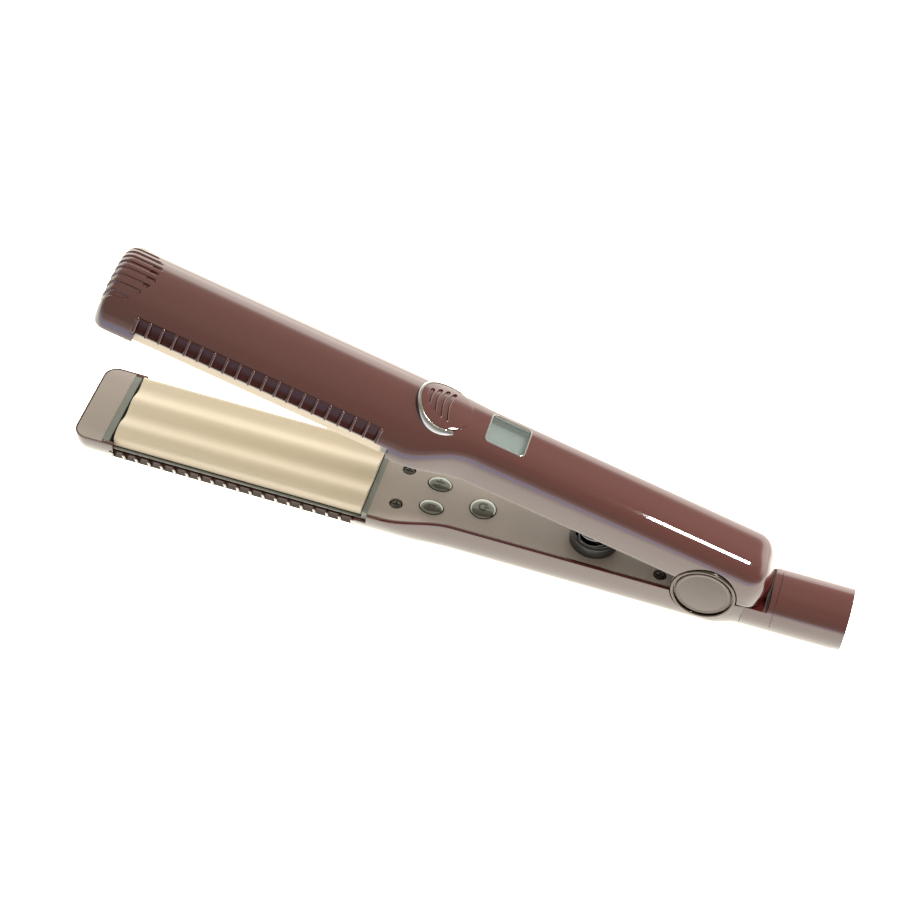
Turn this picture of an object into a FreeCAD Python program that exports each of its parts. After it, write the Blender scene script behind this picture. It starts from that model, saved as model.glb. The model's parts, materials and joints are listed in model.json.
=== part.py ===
import FreeCAD, Part
import math
import os
import types

import Sketcher

# A hair crimper: two hinged arms with waved heating plates, sprung open.
# X runs along the arms towards the tail, Y is the hinge axis, Z is up.
# The lower arm lies on its outer back, with the ground at Z = 0. The upper arm
# is drawn shut, above the lower one, and its pieces are then turned open.
# Lengths "from the hinge" are positive towards the nose unless they say tail.

DIMENSIONS = {
    "hinge_x": 94.4,
    "nose_reach": 242.4,
    "tail_reach": 53.6,
    "face_height": 17.0,
    "half_gap": 2.6,
    "open_angle": 13.0,
    "wall": 2.4,
    "nose_half_width": 19.7,
    "handle_half_width": 14.15,
    "arm_depth": 17.2,
    "nose_round": 5.5,
    "shoulder_front": 122.0,
    "shoulder_back": 95.0,
    "rear_round_start": 10.8,
    "rear_round_length": 12.0,
    "cover_thickness": 2.2,
    "nose_rim": 0.9,
    "handle_rim": 1.7,
    "nose_cover_end": 230.6,
    "notch_front": 226.0,
    "plate_front": 226.7,
    "plate_back": 129.4,
    "plate_half_width": 16.7,
    "plate_height": 2.1,
    "plate_root": 1.5,
    "wave_height": 0.9,
    "wave_length": 14.3,
    "wave_crest_y": 3.2,
    "frame_back": 126.8,
    "frame_half_width": 17.9,
    "frame_depth": 3.5,
    "rim_depth": 4.0,
    "comb_depth": 9.8,
    "comb_top_y": 19.2,
    "comb_foot_y": 16.2,
    "comb_recess": 1.2,
    "comb_front": 227.6,
    "rib_pitch": 5.0,
    "rib_count": 20,
    "rib_width": 1.1,
    "rib_stand": 0.35,
    "heater_length": 80.0,
    "heater_half_width": 9.0,
    "heater_depth": 3.2,
    "carrier_top": 5.0,
    "carrier_depth": 7.5,
    "carrier_half_width": 13.4,
    "cushion_radius": 2.4,
    "board_top": 6.5,
    "board_thickness": 1.6,
    "board_half_width": 9.0,
    "screw_head_radius": 2.3,
    "screw_shank_radius": 1.2,
    "screw_length": 9.0,
    "boss_radius": 2.9,
    "front_screw_x": 118.2,
    "front_screw_y": 9.2,
    "rear_screw_x": 16.9,
    "rear_screw_y": 7.9,
    "temp_button_x": 105.3,
    "temp_button_y": 6.2,
    "temp_button_long": 4.5,
    "temp_button_short": 3.4,
    "power_button_x": 86.9,
    "power_button_radius": 4.9,
    "button_play": 0.3,
    "button_height": 1.3,
    "spring_x": 44.0,
    "cup_radius": 9.3,
    "cup_height": 4.5,
    "cup_depth": 12.0,
    "spring_radius": 5.9,
    "spring_wire": 0.55,
    "spring_length": 22.8,
    "spring_turns": 7.0,
    "seat_radius": 3.2,
    "seat_flange_radius": 6.9,
    "seat_length": 6.5,
    "pin_radius": 3.0,
    "pin_half_length": 11.2,
    "running_gap": 0.05,
    "bush_radius": 4.5,
    "knuckle_radius": 7.5,
    "knuckle_half_width": 7.6,
    "ear_inner": 8.0,
    "ear_outer": 10.6,
    "cap_radius": 12.2,
    "cap_inner": 11.4,
    "cap_face": 14.3,
    "pocket_radius": 12.55,
    "badge_radius": 10.4,
    "display_front": 97.2,
    "display_back": 81.3,
    "display_half_width": 7.2,
    "bezel_width": 0.9,
    "thumb_centre": 114.0,
    "thumb_radius": 11.7,
    "thumb_back": 103.0,
    "thumb_rise": 2.7,
    "trim_width": 1.3,
    "tail_radius": 12.2,
    "tail_axis_height": 12.25,
    "collar_start": 15.5,
    "collar_end": 26.3,
    "sleeve_start": 26.6,
    "sleeve_wall": 2.0,
    "spigot_radius": 9.0,
    "spigot_end": 35.8,
    "saddle_radius": 24.4,
    "socket_radius": 7.0,
    "socket_length": 14.0,
    "contact_radius": 1.1,
    "knuckle_reach": 9.6,
}

RIM_STEPS = 28
PLAY = 0.3
# A half width beyond either side of the crimper, and a distance beyond its nose.
OUTSIDE = 30.0
BEYOND_NOSE = 245
UP = FreeCAD.Vector(0, 0, 1)
ALONG = FreeCAD.Rotation(FreeCAD.Vector(0, 1, 0), 90)
ACROSS = FreeCAD.Rotation(FreeCAD.Vector(1, 0, 0), -90)
UNTURNED = FreeCAD.Rotation()

doc = FreeCAD.newDocument("HairCrimper")
sheet = doc.addObject("Spreadsheet::Sheet", "Dims")
subparts = []


class Size:
    """A length that carries its number and the sheet formula it comes from."""

    def __init__(self, formula, number):
        self.formula = formula
        self.number = number

    def joined(self, sign, other, number):
        return Size("(%s %s %s)" % (self.formula, sign, sized(other).formula), number)

    def __add__(self, other):
        return self.joined("+", other, self.number + sized(other).number)

    def __sub__(self, other):
        return self.joined("-", other, self.number - sized(other).number)

    def __mul__(self, factor):
        return self.joined("*", factor, self.number * factor)

    def __neg__(self):
        return Size("(0 - %s)" % self.formula, -self.number)


def sized(amount):
    return amount if isinstance(amount, Size) else Size("%g" % amount, float(amount))


def fill_sheet():
    """Write every driving dimension to the sheet and hand them back by name."""
    for row, (alias, amount) in enumerate(DIMENSIONS.items(), start=1):
        sheet.set("A%d" % row, str(amount))
        sheet.setAlias("A%d" % row, alias)
    doc.recompute()
    sizes = {alias: Size("Dims." + alias, float(sheet.get(alias))) for alias in DIMENSIONS}
    return types.SimpleNamespace(**sizes)


d = fill_sheet()
hinge_height = d.face_height + d.half_gap


class Arm:
    """One arm: where its inner face lies when shut, and which way is outwards."""

    def __init__(self, name, face, outwards, turn):
        self.name = name
        self.face = face
        self.outwards = outwards
        hinge = FreeCAD.Vector(d.hinge_x.number, 0, hinge_height.number)
        opening = FreeCAD.Rotation(FreeCAD.Vector(0, 1, 0), turn)
        self.turn = FreeCAD.Placement(FreeCAD.Vector(), opening, hinge)

    def level(self, depth):
        """The height, with the arms shut, at a depth below this arm's inner face."""
        return self.face + sized(depth) * self.outwards

    def band(self, shallow, deep):
        """The lower height of a band between two depths, and the band's height."""
        low = deep if self.outwards < 0 else shallow
        return self.level(low), sized(deep) - shallow


lower = Arm("lower", d.face_height, -1, 0.0)
upper = Arm("upper", d.face_height + d.half_gap * 2, 1, d.open_angle.number)


# ---- small tools -------------------------------------------------------------


def bind(item, **sizes):
    for name, amount in sizes.items():
        item.setExpression(name, sized(amount).formula)
    return item


def put(item, x, y, z, rotation=UNTURNED):
    """Place a primitive by formulas, so that it follows the sheet."""
    item.Placement = FreeCAD.Placement(FreeCAD.Vector(), rotation)
    for axis, amount in zip("xyz", (x, y, z)):
        item.setExpression("Placement.Base." + axis, sized(amount).formula)
    return item


def box(x, y, z, length, width, height):
    item = bind(doc.addObject("Part::Box", "Block"), Length=length, Width=width, Height=height)
    return put(item, x, y, z)


def slab(arm, start, end, half_width, shallow, deep):
    """A block across an arm, from one distance from the hinge to another."""
    low, height = arm.band(shallow, deep)
    width = sized(half_width)
    return box(d.hinge_x - start, -width, low, sized(start) - end, width * 2, height)


def rod(radius, length, x, y, z, rotation=UNTURNED):
    item = bind(doc.addObject("Part::Cylinder", "Rod"), Radius=radius, Height=length)
    return put(item, x, y, z, rotation)


def post(arm, radius, x, y, shallow, deep):
    """An upright cylinder in an arm, placed from the hinge."""
    low, height = arm.band(shallow, deep)
    return rod(radius, height, d.hinge_x - x, y, low)


def oval_post(arm, long, short, x, y, shallow, deep):
    """An upright cylinder with an oval outline."""
    low, height = arm.band(shallow, deep)
    outline = doc.addObject("Part::Ellipse", "Oval")
    bind(outline, MajorRadius=long, MinorRadius=short)
    put(outline, d.hinge_x - x, y, low)
    item = doc.addObject("Part::Extrusion", "OvalPost")
    item.Base = outline
    item.Dir = UP
    item.DirMode = "Custom"
    item.Solid = True
    return bind(item, LengthFwd=height)


def fused(items):
    if len(items) == 1:
        return items[0]
    item = doc.addObject("Part::MultiFuse", "Joined")
    item.Shapes = items
    return item


def cut(base, tools):
    item = doc.addObject("Part::Cut", "Trimmed")
    item.Base = base
    item.Tool = fused(tools)
    return item


def common(first, second):
    item = doc.addObject("Part::Common", "Shared")
    item.Base = first
    item.Tool = second
    return item


def group(items):
    item = doc.addObject("Part::Compound", "Group")
    item.Links = items
    return item


def formed(shape):
    """A free form that primitives and sketches can't give."""
    item = doc.addObject("Part::Feature", "Form")
    item.Shape = shape
    return item


def deliver(item, label, arm=lower):
    """Name a finished piece and, on the upper arm, turn it open."""
    item.Label = label
    item.Placement = arm.turn.multiply(item.Placement) if arm is upper else item.Placement
    subparts.append(item)
    return item


def new_body(x, y, z, rotation=UNTURNED):
    body = doc.addObject("PartDesign::Body", "Body")
    where = FreeCAD.Vector(sized(x).number, sized(y).number, sized(z).number)
    body.Placement = FreeCAD.Placement(where, rotation)
    return body


def outline_sketch(body, role, points, lift=0.0):
    """A closed outline on one of the body's planes, each corner held by the sheet."""
    sketch = body.newObject("Sketcher::SketchObject", "Outline")
    plane = [f for f in body.Origin.OriginFeatures if f.Role == role][0]
    sketch.AttachmentSupport = (plane, [""])
    sketch.MapMode = "FlatFace"
    sketch.AttachmentOffset = FreeCAD.Placement(FreeCAD.Vector(0, 0, lift), UNTURNED)
    corners = [(sized(a), sized(b)) for a, b in points]
    ends = [FreeCAD.Vector(a.number, b.number, 0) for a, b in corners]
    for start, end in zip(ends, ends[1:] + ends[:1]):
        sketch.addGeometry(Part.LineSegment(start, end), False)
    for index in range(len(corners)):
        follower = (index + 1) % len(corners)
        sketch.addConstraint(Sketcher.Constraint("Coincident", index, 2, follower, 1))
    for index, corner in enumerate(corners):
        for kind, amount in zip(("DistanceX", "DistanceY"), corner):
            held = Sketcher.Constraint(kind, -1, 1, index, 1, amount.number)
            number = sketch.addConstraint(held)
            sketch.setExpression("Constraints[%d]" % number, amount.formula)
    return sketch


def turned(x, y, z, rotation, points):
    """A body of revolution: points are (radius, height) about its own Z axis."""
    body = new_body(x, y, z, rotation)
    sketch = outline_sketch(body, "XZ_Plane", points)
    spin = body.newObject("PartDesign::Revolution", "Turned")
    spin.Profile = sketch
    spin.ReferenceAxis = (sketch, ["V_Axis"])
    spin.Angle = 360.0
    body.Tip = spin
    return body


def padded(body, role, points, length, lift=0.0):
    sketch = outline_sketch(body, role, points, lift)
    pad = body.newObject("PartDesign::Pad", "Pad")
    pad.Profile = sketch
    bind(pad, Length=length)
    body.Tip = pad
    return pad


def repeated(body, feature, direction, pitch, count):
    """Copies of a feature in a row; pitch is the step between neighbours."""
    pattern = body.newObject("PartDesign::LinearPattern", "Row")
    pattern.Originals = [feature]
    axis = [f for f in body.Origin.OriginFeatures if f.Role == direction][0]
    pattern.Direction = (axis, [""])
    pattern.Occurrences = int(count.number)
    bind(pattern, Length=pitch * (count.number - 1))
    body.Tip = pattern
    return pattern


# ---- the arms' outer form ----------------------------------------------------


def eased(amount):
    return 0.5 - 0.5 * math.cos(math.pi * min(1.0, max(0.0, amount)))


def section(from_hinge, arm):
    """Half width, depth and squareness of an arm at a distance from the hinge."""
    front = d.shoulder_front.number
    span = front - d.shoulder_back.number
    slim = eased((front - from_hinge) / span)
    nose = d.nose_half_width.number
    half_width = nose + (d.handle_half_width.number - nose) * slim
    squareness = 2.0 + 1.2 * slim
    depth = d.arm_depth.number
    if arm is lower and from_hinge < -4.0:
        taper = eased((-4.0 - from_hinge) / (d.collar_start.number - 4.0))
        half_width += (d.tail_radius.number - half_width) * taper
        squareness -= 0.8 * taper
    return half_width, depth, squareness


def rounded_nose(reach):
    """How far in the outline stands at a distance behind the nose's tip."""
    radius = d.nose_round.number
    left = max(0.0, radius - reach)
    return radius - math.sqrt(radius * radius - left * left)


def rounded_rear(from_hinge):
    """Width and depth factors of the upper arm's domed rear end."""
    along = (-from_hinge - d.rear_round_start.number) / d.rear_round_length.number
    along = min(1.0, max(0.0, along))
    return (1 - along**2.4) ** (1 / 2.4), math.sqrt(1 - along**2)


def rim_wire(arm, from_hinge, inset, headroom):
    """The arm's section as a wire: a curved back closed by a straight inner side."""
    half_width, depth, squareness = section(from_hinge, arm)
    nose_in = rounded_nose(d.nose_reach.number - inset - from_hinge)
    half_width -= nose_in + inset
    depth -= nose_in * 0.9 + inset
    if arm is upper:
        narrow, shallow = rounded_rear(from_hinge - inset)
        half_width *= narrow
        depth *= shallow
    power = 2.0 / squareness
    points = []
    for step in range(RIM_STEPS + 1):
        angle = math.pi * step / RIM_STEPS
        side = math.copysign(abs(math.cos(angle)) ** power, math.cos(angle))
        down = abs(math.sin(angle)) ** power if 0 < step < RIM_STEPS else 0.0
        points.append((half_width * side, depth * down))
    x = d.hinge_x.number - from_hinge
    placed = [FreeCAD.Vector(x, y, arm.level(down).number) for y, down in points]
    back = Part.BSplineCurve()
    back.interpolate(placed)
    if not headroom:
        return Part.Wire([back.toShape(), Part.makeLine(placed[-1], placed[0])])
    raised = [FreeCAD.Vector(x, p.y, arm.level(-headroom).number) for p in (placed[-1], placed[0])]
    corners = [placed[-1]] + raised + [placed[0]]
    sides = [Part.makeLine(a, b) for a, b in zip(corners, corners[1:])]
    return Part.Wire([back.toShape()] + sides)


def stations(arm, inset):
    """Distances from the hinge of an arm's sections, from its nose to its rear."""
    tip = d.nose_reach.number - inset
    nose = [tip - d.nose_round.number * part for part in (0, 0.04, 0.16, 0.36, 0.64, 1)]
    front = d.shoulder_front.number
    span = front - d.shoulder_back.number
    shoulder = [front - span * step / 8 for step in range(9)]
    if arm is lower:
        rear = [-4.0, -7.0, -10.0, -13.0, -d.collar_start.number]
    else:
        start = d.rear_round_start.number
        length = d.rear_round_length.number
        rear = [inset - start - length * part for part in (0, 0.3, 0.5, 0.68, 0.82, 0.92, 0.97)]
    return nose + shoulder + rear


def arm_form(arm, inset=0.0, headroom=0.0):
    wires = [rim_wire(arm, place, inset, headroom) for place in stations(arm, inset)]
    return formed(Part.makeLoft(wires, True, True))


def cover_form(arm, rim, start, end):
    """The thin slice of an arm's form that a cover fills, inside the rim."""
    return common(arm_form(arm, rim), slab(arm, start, end, OUTSIDE, 0, d.cover_thickness))


# ---- shells and covers -------------------------------------------------------


def screw_places():
    front = [(d.front_screw_x, d.front_screw_y * side) for side in (-1, 1)]
    rear = [(d.rear_screw_x, d.rear_screw_y * side) for side in (-1, 1)]
    return front + rear


def screw_bosses(arm):
    posts = []
    for x, y in screw_places():
        outside = post(arm, d.boss_radius, x, y, d.cover_thickness, d.arm_depth)
        hole = post(arm, d.screw_shank_radius, x, y, 0, d.screw_length)
        posts.append(cut(outside, [hole]))
    return common(arm_form(arm, 0.5), fused(posts))


def comb_length():
    return d.rib_pitch * (d.rib_count.number - 1) + d.rib_width


def comb_outline(arm, side, stand):
    """The strip's section, or a rib's when it stands out of the shell."""
    sink = d.comb_recess if stand == 0.0 else -stand
    top = d.rim_depth if stand == 0.0 else d.rim_depth - stand
    inner = d.wall + 0.05 if stand == 0.0 else d.comb_recess + 0.2
    return [
        ((d.comb_top_y - sink) * side, arm.level(top)),
        ((d.comb_foot_y - sink) * side, arm.level(d.comb_depth)),
        ((d.comb_foot_y - inner) * side, arm.level(d.comb_depth)),
        ((d.comb_top_y - inner) * side, arm.level(top)),
    ]


def comb(arm, side, label):
    """A recessed strip with a row of guide ribs, let into the shell's side."""
    body = new_body(d.hinge_x - d.comb_front, 0, 0)
    padded(body, "YZ_Plane", comb_outline(arm, side, 0.0), comb_length())
    rib = padded(body, "YZ_Plane", comb_outline(arm, side, d.rib_stand), d.rib_width)
    repeated(body, rib, "X_Axis", d.rib_pitch, d.rib_count)
    return deliver(body, label, arm)


def comb_seat(arm, side):
    """The opening in the shell's wall that a comb and its ribs fill, below the rim."""
    body = new_body(d.hinge_x - d.comb_front, 0, 0)
    foot = arm.level(d.comb_depth)
    top = arm.level(d.rim_depth - d.rib_stand)
    outline = [
        (sized(OUTSIDE * side), top),
        (sized(OUTSIDE * side), foot),
        ((d.comb_foot_y - d.wall - 0.05) * side, foot),
        ((d.comb_top_y - d.wall - 0.05) * side, top),
    ]
    padded(body, "YZ_Plane", outline, comb_length())
    return body


def cap_pockets():
    """The round openings in both arms' sides that the hinge caps sit in."""
    reach = sized(10.0)
    near = rod(d.pocket_radius, reach, d.hinge_x, -d.cap_inner - reach + 0.3, hinge_height, ACROSS)
    far = rod(d.pocket_radius, reach, d.hinge_x, d.cap_inner - 0.3, hinge_height, ACROSS)
    return [near, far]


def display_opening(margin, shallow, deep):
    sides = d.display_half_width - margin
    return slab(upper, d.display_front - margin, d.display_back + margin, sides, shallow, deep)


def shell(arm, label):
    hollow = arm_form(arm, d.wall.number, 1.0)
    rim_cut = slab(arm, d.notch_front, d.frame_back, OUTSIDE, -1, d.rim_depth)
    bar_seat = slab(arm, d.nose_cover_end, d.notch_front, d.frame_half_width, -1, d.frame_depth)
    nose_seat = cover_form(arm, d.nose_rim.number, BEYOND_NOSE, d.nose_cover_end)
    handle_seat = cover_form(arm, d.handle_rim.number, d.frame_back, -40)
    combs = [comb_seat(arm, side) for side in (-1, 1)]
    tools = [hollow, rim_cut, bar_seat, nose_seat, handle_seat] + combs
    if arm is upper:
        tools.append(display_opening(0, 8, 30))
    walls = cut(arm_form(arm), tools)
    whole = fused([walls, screw_bosses(arm)])
    trims = cap_pockets()
    if arm is lower:
        trims.append(box(-200, -30, -5, 400, 60, 5))
    return deliver(cut(whole, trims), label, arm)


def nose_cover(arm, label):
    return deliver(cover_form(arm, d.nose_rim.number, BEYOND_NOSE, d.nose_cover_end), label, arm)


def screw_wells(arm):
    wells = []
    for x, y in screw_places():
        wells.append(post(arm, d.screw_head_radius + 0.3, x, y, -1, 1.2))
        wells.append(post(arm, d.screw_shank_radius, x, y, 0, 5))
    return wells


def inner_cover(arm, label, openings):
    """The flat inner side of a handle, from the plate's frame to the knuckles."""
    blank = cover_form(arm, d.handle_rim.number, d.frame_back, d.knuckle_reach)
    tools = screw_wells(arm) + openings + cap_pockets()
    return deliver(cut(blank, tools), label, arm)


def rear_cover(arm, label):
    """The short cover behind the knuckles."""
    end = -d.collar_start if arm is lower else -d.rear_round_start - d.rear_round_length
    blank = cover_form(arm, d.handle_rim.number, -d.knuckle_reach, end)
    return deliver(cut(blank, cap_pockets()), label, arm)


def button_openings():
    play = d.button_play
    holes = []
    for side in (-1, 1):
        long = d.temp_button_long + play
        short = d.temp_button_short + play
        y = d.temp_button_y * side
        holes.append(oval_post(lower, long, short, d.temp_button_x, y, -1, 5))
    holes.append(post(lower, d.power_button_radius + play, d.power_button_x, 0, -1, 5))
    holes.append(post(lower, d.cup_radius, d.spring_x, 0, -1, 5))
    return holes


def screws(arm, label):
    """Countersunk cross-head screws that hold an inner cover to its shell."""
    pieces = []
    for x, y in screw_places():
        head = post(arm, d.screw_head_radius, x, y, 0.4, 1.2)
        shank = post(arm, d.screw_shank_radius, x, y, 1.2, d.screw_length)
        across = slab(arm, x + 1.5, x - 1.5, 0.3, 0, 0.9)
        along = slab(arm, x + 0.3, x - 0.3, 1.5, 0, 0.9)
        for bar in (across, along):
            lower_side = y - (0.3 if bar is across else 1.5)
            bar.setExpression("Placement.Base.y", lower_side.formula)
        pieces.append(cut(fused([head, shank]), [across, along]))
    return deliver(group(pieces), label, arm)


# ---- heating plates ----------------------------------------------------------


def plate(arm, label):
    """A waved plate; the upper one's crests lie over the lower one's hollows."""
    swing = d.wave_height.number * (1 if arm is lower else -1)
    half_width = d.plate_half_width.number
    crest = d.wave_crest_y.number
    x = (d.hinge_x - d.plate_front).number
    face = []
    for step in range(49):
        y = -half_width + 2 * half_width * step / 48
        wave = swing * math.cos(2 * math.pi * (y - crest) / d.wave_length.number)
        edge = max(0.0, abs(y) - half_width + 1.6)
        drop = 1.6 - math.sqrt(max(0.0, 2.56 - edge * edge))
        face.append(FreeCAD.Vector(x, y, arm.level(drop - d.plate_height.number - wave).number))
    waves = Part.BSplineCurve()
    waves.interpolate(face)
    root = arm.level(d.plate_root).number
    corners = [face[-1], FreeCAD.Vector(x, half_width, root), FreeCAD.Vector(x, -half_width, root), face[0]]
    sides = [Part.makeLine(a, b) for a, b in zip(corners, corners[1:])]
    outline = Part.Face(Part.Wire([waves.toShape()] + sides))
    length = (d.plate_front - d.plate_back).number
    return deliver(formed(outline.extrude(FreeCAD.Vector(length, 0, 0))), label, arm)


def plate_frame(arm, label):
    """The heat-proof frame round a plate."""
    gap = sized(PLAY)
    outside = slab(arm, d.nose_cover_end, d.frame_back, d.frame_half_width, 0, d.frame_depth)
    front = d.plate_front + gap
    back = d.plate_back - gap
    inside = slab(arm, front, back, d.plate_half_width + gap, -1, 9)
    return deliver(cut(outside, [inside]), label, arm)


def heater_middle():
    return (d.plate_front + d.plate_back) * 0.5


def heater(arm, label):
    """The ceramic heating strip with its two lead tabs, bonded under a plate."""
    half = d.heater_length * 0.5
    middle = heater_middle()
    strip = slab(arm, middle + half, middle - half, d.heater_half_width, d.plate_root, d.heater_depth)
    tabs = []
    for side in (-1, 1):
        tab = slab(arm, middle - half + 1, middle - half - 5, 1.5, 2.0, 2.6)
        bind(tab, Width=3)
        tab.setExpression("Placement.Base.y", (sized(4.0) * side - 1.5).formula)
        tabs.append(tab)
    return deliver(fused([strip] + tabs), label, arm)


def cushion_places():
    reach = d.heater_length * 0.5 + 4.0
    middle = heater_middle()
    return [(middle + reach * end, sized(10.5) * side) for end in (-1, 1) for side in (-1, 1)]


def cushions(arm, label):
    """Four silicone tubes that let a plate float in its arm."""
    tubes = []
    for x, y in cushion_places():
        outside = post(arm, d.cushion_radius, x, y, d.plate_root, d.carrier_top)
        inside = post(arm, d.cushion_radius * 0.5, x, y, 0, 9)
        tubes.append(cut(outside, [inside]))
    return deliver(group(tubes), label, arm)


def carrier(arm, label):
    """The tray under a plate, with a rib down each side."""
    front = d.plate_front - 1.5
    back = d.plate_back + 1.5
    tray = slab(arm, front, back, d.carrier_half_width, d.carrier_top, d.carrier_depth)
    hollow = slab(arm, front - 6, back + 6, d.carrier_half_width - 5.5, 0, d.carrier_depth - 1.2)
    return deliver(cut(tray, [hollow]), label, arm)


# ---- controls ----------------------------------------------------------------


def board(arm, front, back, top, label):
    body = new_body(d.hinge_x - front, 0, arm.band(top, top + d.board_thickness)[0])
    length = sized(front) - back
    width = d.board_half_width
    padded(body, "XY_Plane", [(0, -width), (length, -width), (length, width), (0, width)], d.board_thickness)
    return deliver(body, label, arm)


def key_switches(label):
    """The small switches that the three buttons press."""
    switches = []
    for x, y in button_places():
        base = slab(lower, x + 3, x - 3, 3, 4.9, d.board_top)
        base.setExpression("Placement.Base.y", (sized(y) - 3).formula)
        switches.append(fused([base, post(lower, 1.2, x, y, 4.5, 5.0)]))
    return deliver(group(switches), label)


def button_places():
    temperature = [(d.temp_button_x, d.temp_button_y * side) for side in (-1, 1)]
    return temperature + [(d.power_button_x, sized(0.0))]


def temperature_button(side, label):
    """An oval button: a domed head, a lip under the cover and a stem."""
    x = d.temp_button_x
    y = d.temp_button_y * side
    dome = doc.addObject("Part::Ellipsoid", "Dome")
    bind(dome, Radius1=d.button_height, Radius2=d.temp_button_long, Radius3=d.temp_button_short)
    dome.Angle1 = 0
    put(dome, d.hinge_x - x, y, lower.level(0))
    skirt = oval_post(lower, d.temp_button_long, d.temp_button_short, x, y, 0, 2.6)
    lip = oval_post(lower, d.temp_button_long + 0.8, d.temp_button_short + 0.8, x, y, 2.5, 3.2)
    stem = post(lower, 1.4, x, y, 3.1, 3.8)
    return deliver(fused([dome, skirt, lip, stem]), label)


def power_button(label):
    radius = d.power_button_radius
    profile = [
        (0, d.button_height),
        (radius * 0.5, d.button_height * 0.86),
        (radius * 0.85, d.button_height * 0.45),
        (radius, 0),
        (radius, -2.6),
        (radius + 0.8, -2.6),
        (radius + 0.8, -3.2),
        (1.4, -3.2),
        (1.4, -3.8),
        (0, -3.8),
    ]
    return deliver(turned(d.hinge_x - d.power_button_x, 0, d.face_height, UNTURNED, profile), label)


def display_pieces():
    """The readout in the upper arm's back: bezel, window, panel and board."""
    width = d.bezel_width
    proud = common(arm_form(upper, -0.3), display_opening(0, 8, 30))
    bezel = cut(proud, [arm_form(upper, 2.0), display_opening(width, 0, 40)])
    deliver(bezel, "display_bezel", upper)
    blank = common(arm_form(upper, 0.15), display_opening(width, 8, 30))
    deliver(cut(blank, [arm_form(upper, 1.3)]), "display_window", upper)
    panel = display_opening(width + 0.6, 10.5, 12.5)
    deliver(group([panel]), "display_panel", upper)
    board(upper, d.display_front + 3, d.display_back - 3, sized(8.9), "display_board")


# ---- thumb rest --------------------------------------------------------------


def raised_back():
    """The upper arm's back, raised most at the thumb rest's front edge."""
    front = d.thumb_centre.number + d.thumb_radius.number + 2
    back = d.thumb_back.number
    wires = []
    for step in range(7):
        place = front + (back - front) * step / 6
        rise = d.thumb_rise.number * (1 - step / 6)
        wires.append(rim_wire(upper, place, -rise, 0.0))
    return formed(Part.makeLoft(wires, True, True))


def thumb_plan(radius, shift):
    x = d.hinge_x - d.thumb_centre + shift
    low, height = upper.band(5, 30)
    return rod(radius, height, x, 0, low)


def thumb_pieces():
    middle = common(raised_back(), thumb_plan(d.thumb_radius - d.trim_width, 0))
    rest = cut(middle, [arm_form(upper)])
    deliver(rest, "thumb_rest", upper)
    blank = common(raised_back(), thumb_plan(d.thumb_radius, 0))
    rear = box(d.hinge_x - d.thumb_centre + 6, -30, 20, 40, 60, 60)
    inside = thumb_plan(d.thumb_radius - d.trim_width, 0)
    deliver(cut(blank, [arm_form(upper), inside, rear]), "thumb_trim", upper)


# ---- hinge and opening spring ------------------------------------------------


def hinge_pieces():
    where = (d.hinge_x, 0, hinge_height)
    long = d.pin_half_length
    radius = d.pin_radius
    pin = [(0, -long), (radius, -long), (radius, long), (0, long)]
    deliver(turned(*where, ACROSS, pin), "hinge_pin")
    inner = radius + d.running_gap
    half = d.knuckle_half_width
    bush = [(inner, -half), (d.bush_radius, -half), (d.bush_radius, half), (inner, half)]
    deliver(turned(*where, ACROSS, bush), "hinge_bush", upper)


def upper_knuckle():
    half = d.knuckle_half_width
    barrel = rod(d.knuckle_radius, half * 2, d.hinge_x, -half, hinge_height, ACROSS)
    web = slab(upper, 6, -6, half, 0, 12)
    flange = slab(upper, 9, -9, half + 1, 9, 12)
    bore = rod(d.bush_radius, half * 2, d.hinge_x, -half, hinge_height, ACROSS)
    deliver(cut(fused([barrel, web, flange]), [bore]), "upper_hinge_knuckle", upper)


def lower_ears():
    thick = d.ear_outer - d.ear_inner
    ears = []
    for y in (-d.ear_outer, d.ear_inner):
        disc = rod(d.knuckle_radius, thick, d.hinge_x, y, hinge_height, ACROSS)
        web = slab(lower, 6, -6, thick, 0, 8)
        bind(web, Width=thick)
        web.setExpression("Placement.Base.y", y.formula)
        ears += [disc, web]
    base = slab(lower, 9, -6, d.ear_outer, 6, 8)
    bore = rod(d.pin_radius, d.ear_outer * 2, d.hinge_x, -d.ear_outer, hinge_height, ACROSS)
    deliver(cut(fused(ears + [base]), [bore]), "lower_hinge_ears")


def hinge_side(side, word):
    """A cap, its outer ring and its plain badge, on one side of the hinge."""
    turn = ACROSS if side > 0 else FreeCAD.Rotation(FreeCAD.Vector(1, 0, 0), 90)
    where = (d.hinge_x, 0, hinge_height, turn)
    radius = d.cap_radius
    badge = d.badge_radius
    face = d.cap_face
    step = radius - 1.2
    cap = [
        (d.pin_radius + 0.4, d.ear_outer),
        (5.5, d.ear_outer),
        (5.5, d.cap_inner),
        (radius, d.cap_inner),
        (radius, face - 1.4),
        (badge, face - 1.4),
        (badge, face - 1.6),
        (d.pin_radius + 0.4, face - 1.6),
    ]
    ring = [(step, face - 1.4), (radius, face - 1.4), (radius, face - 0.4), (radius - 0.4, face), (step, face)]
    disc = [(0, face - 1.6), (badge, face - 1.6), (badge, face - 0.5), (badge * 0.6, face - 0.15), (0, face)]
    deliver(turned(*where, cap), "hinge_cap_" + word)
    deliver(turned(*where, ring), "cap_ring_" + word)
    deliver(turned(*where, disc), "cap_badge_" + word)


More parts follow.
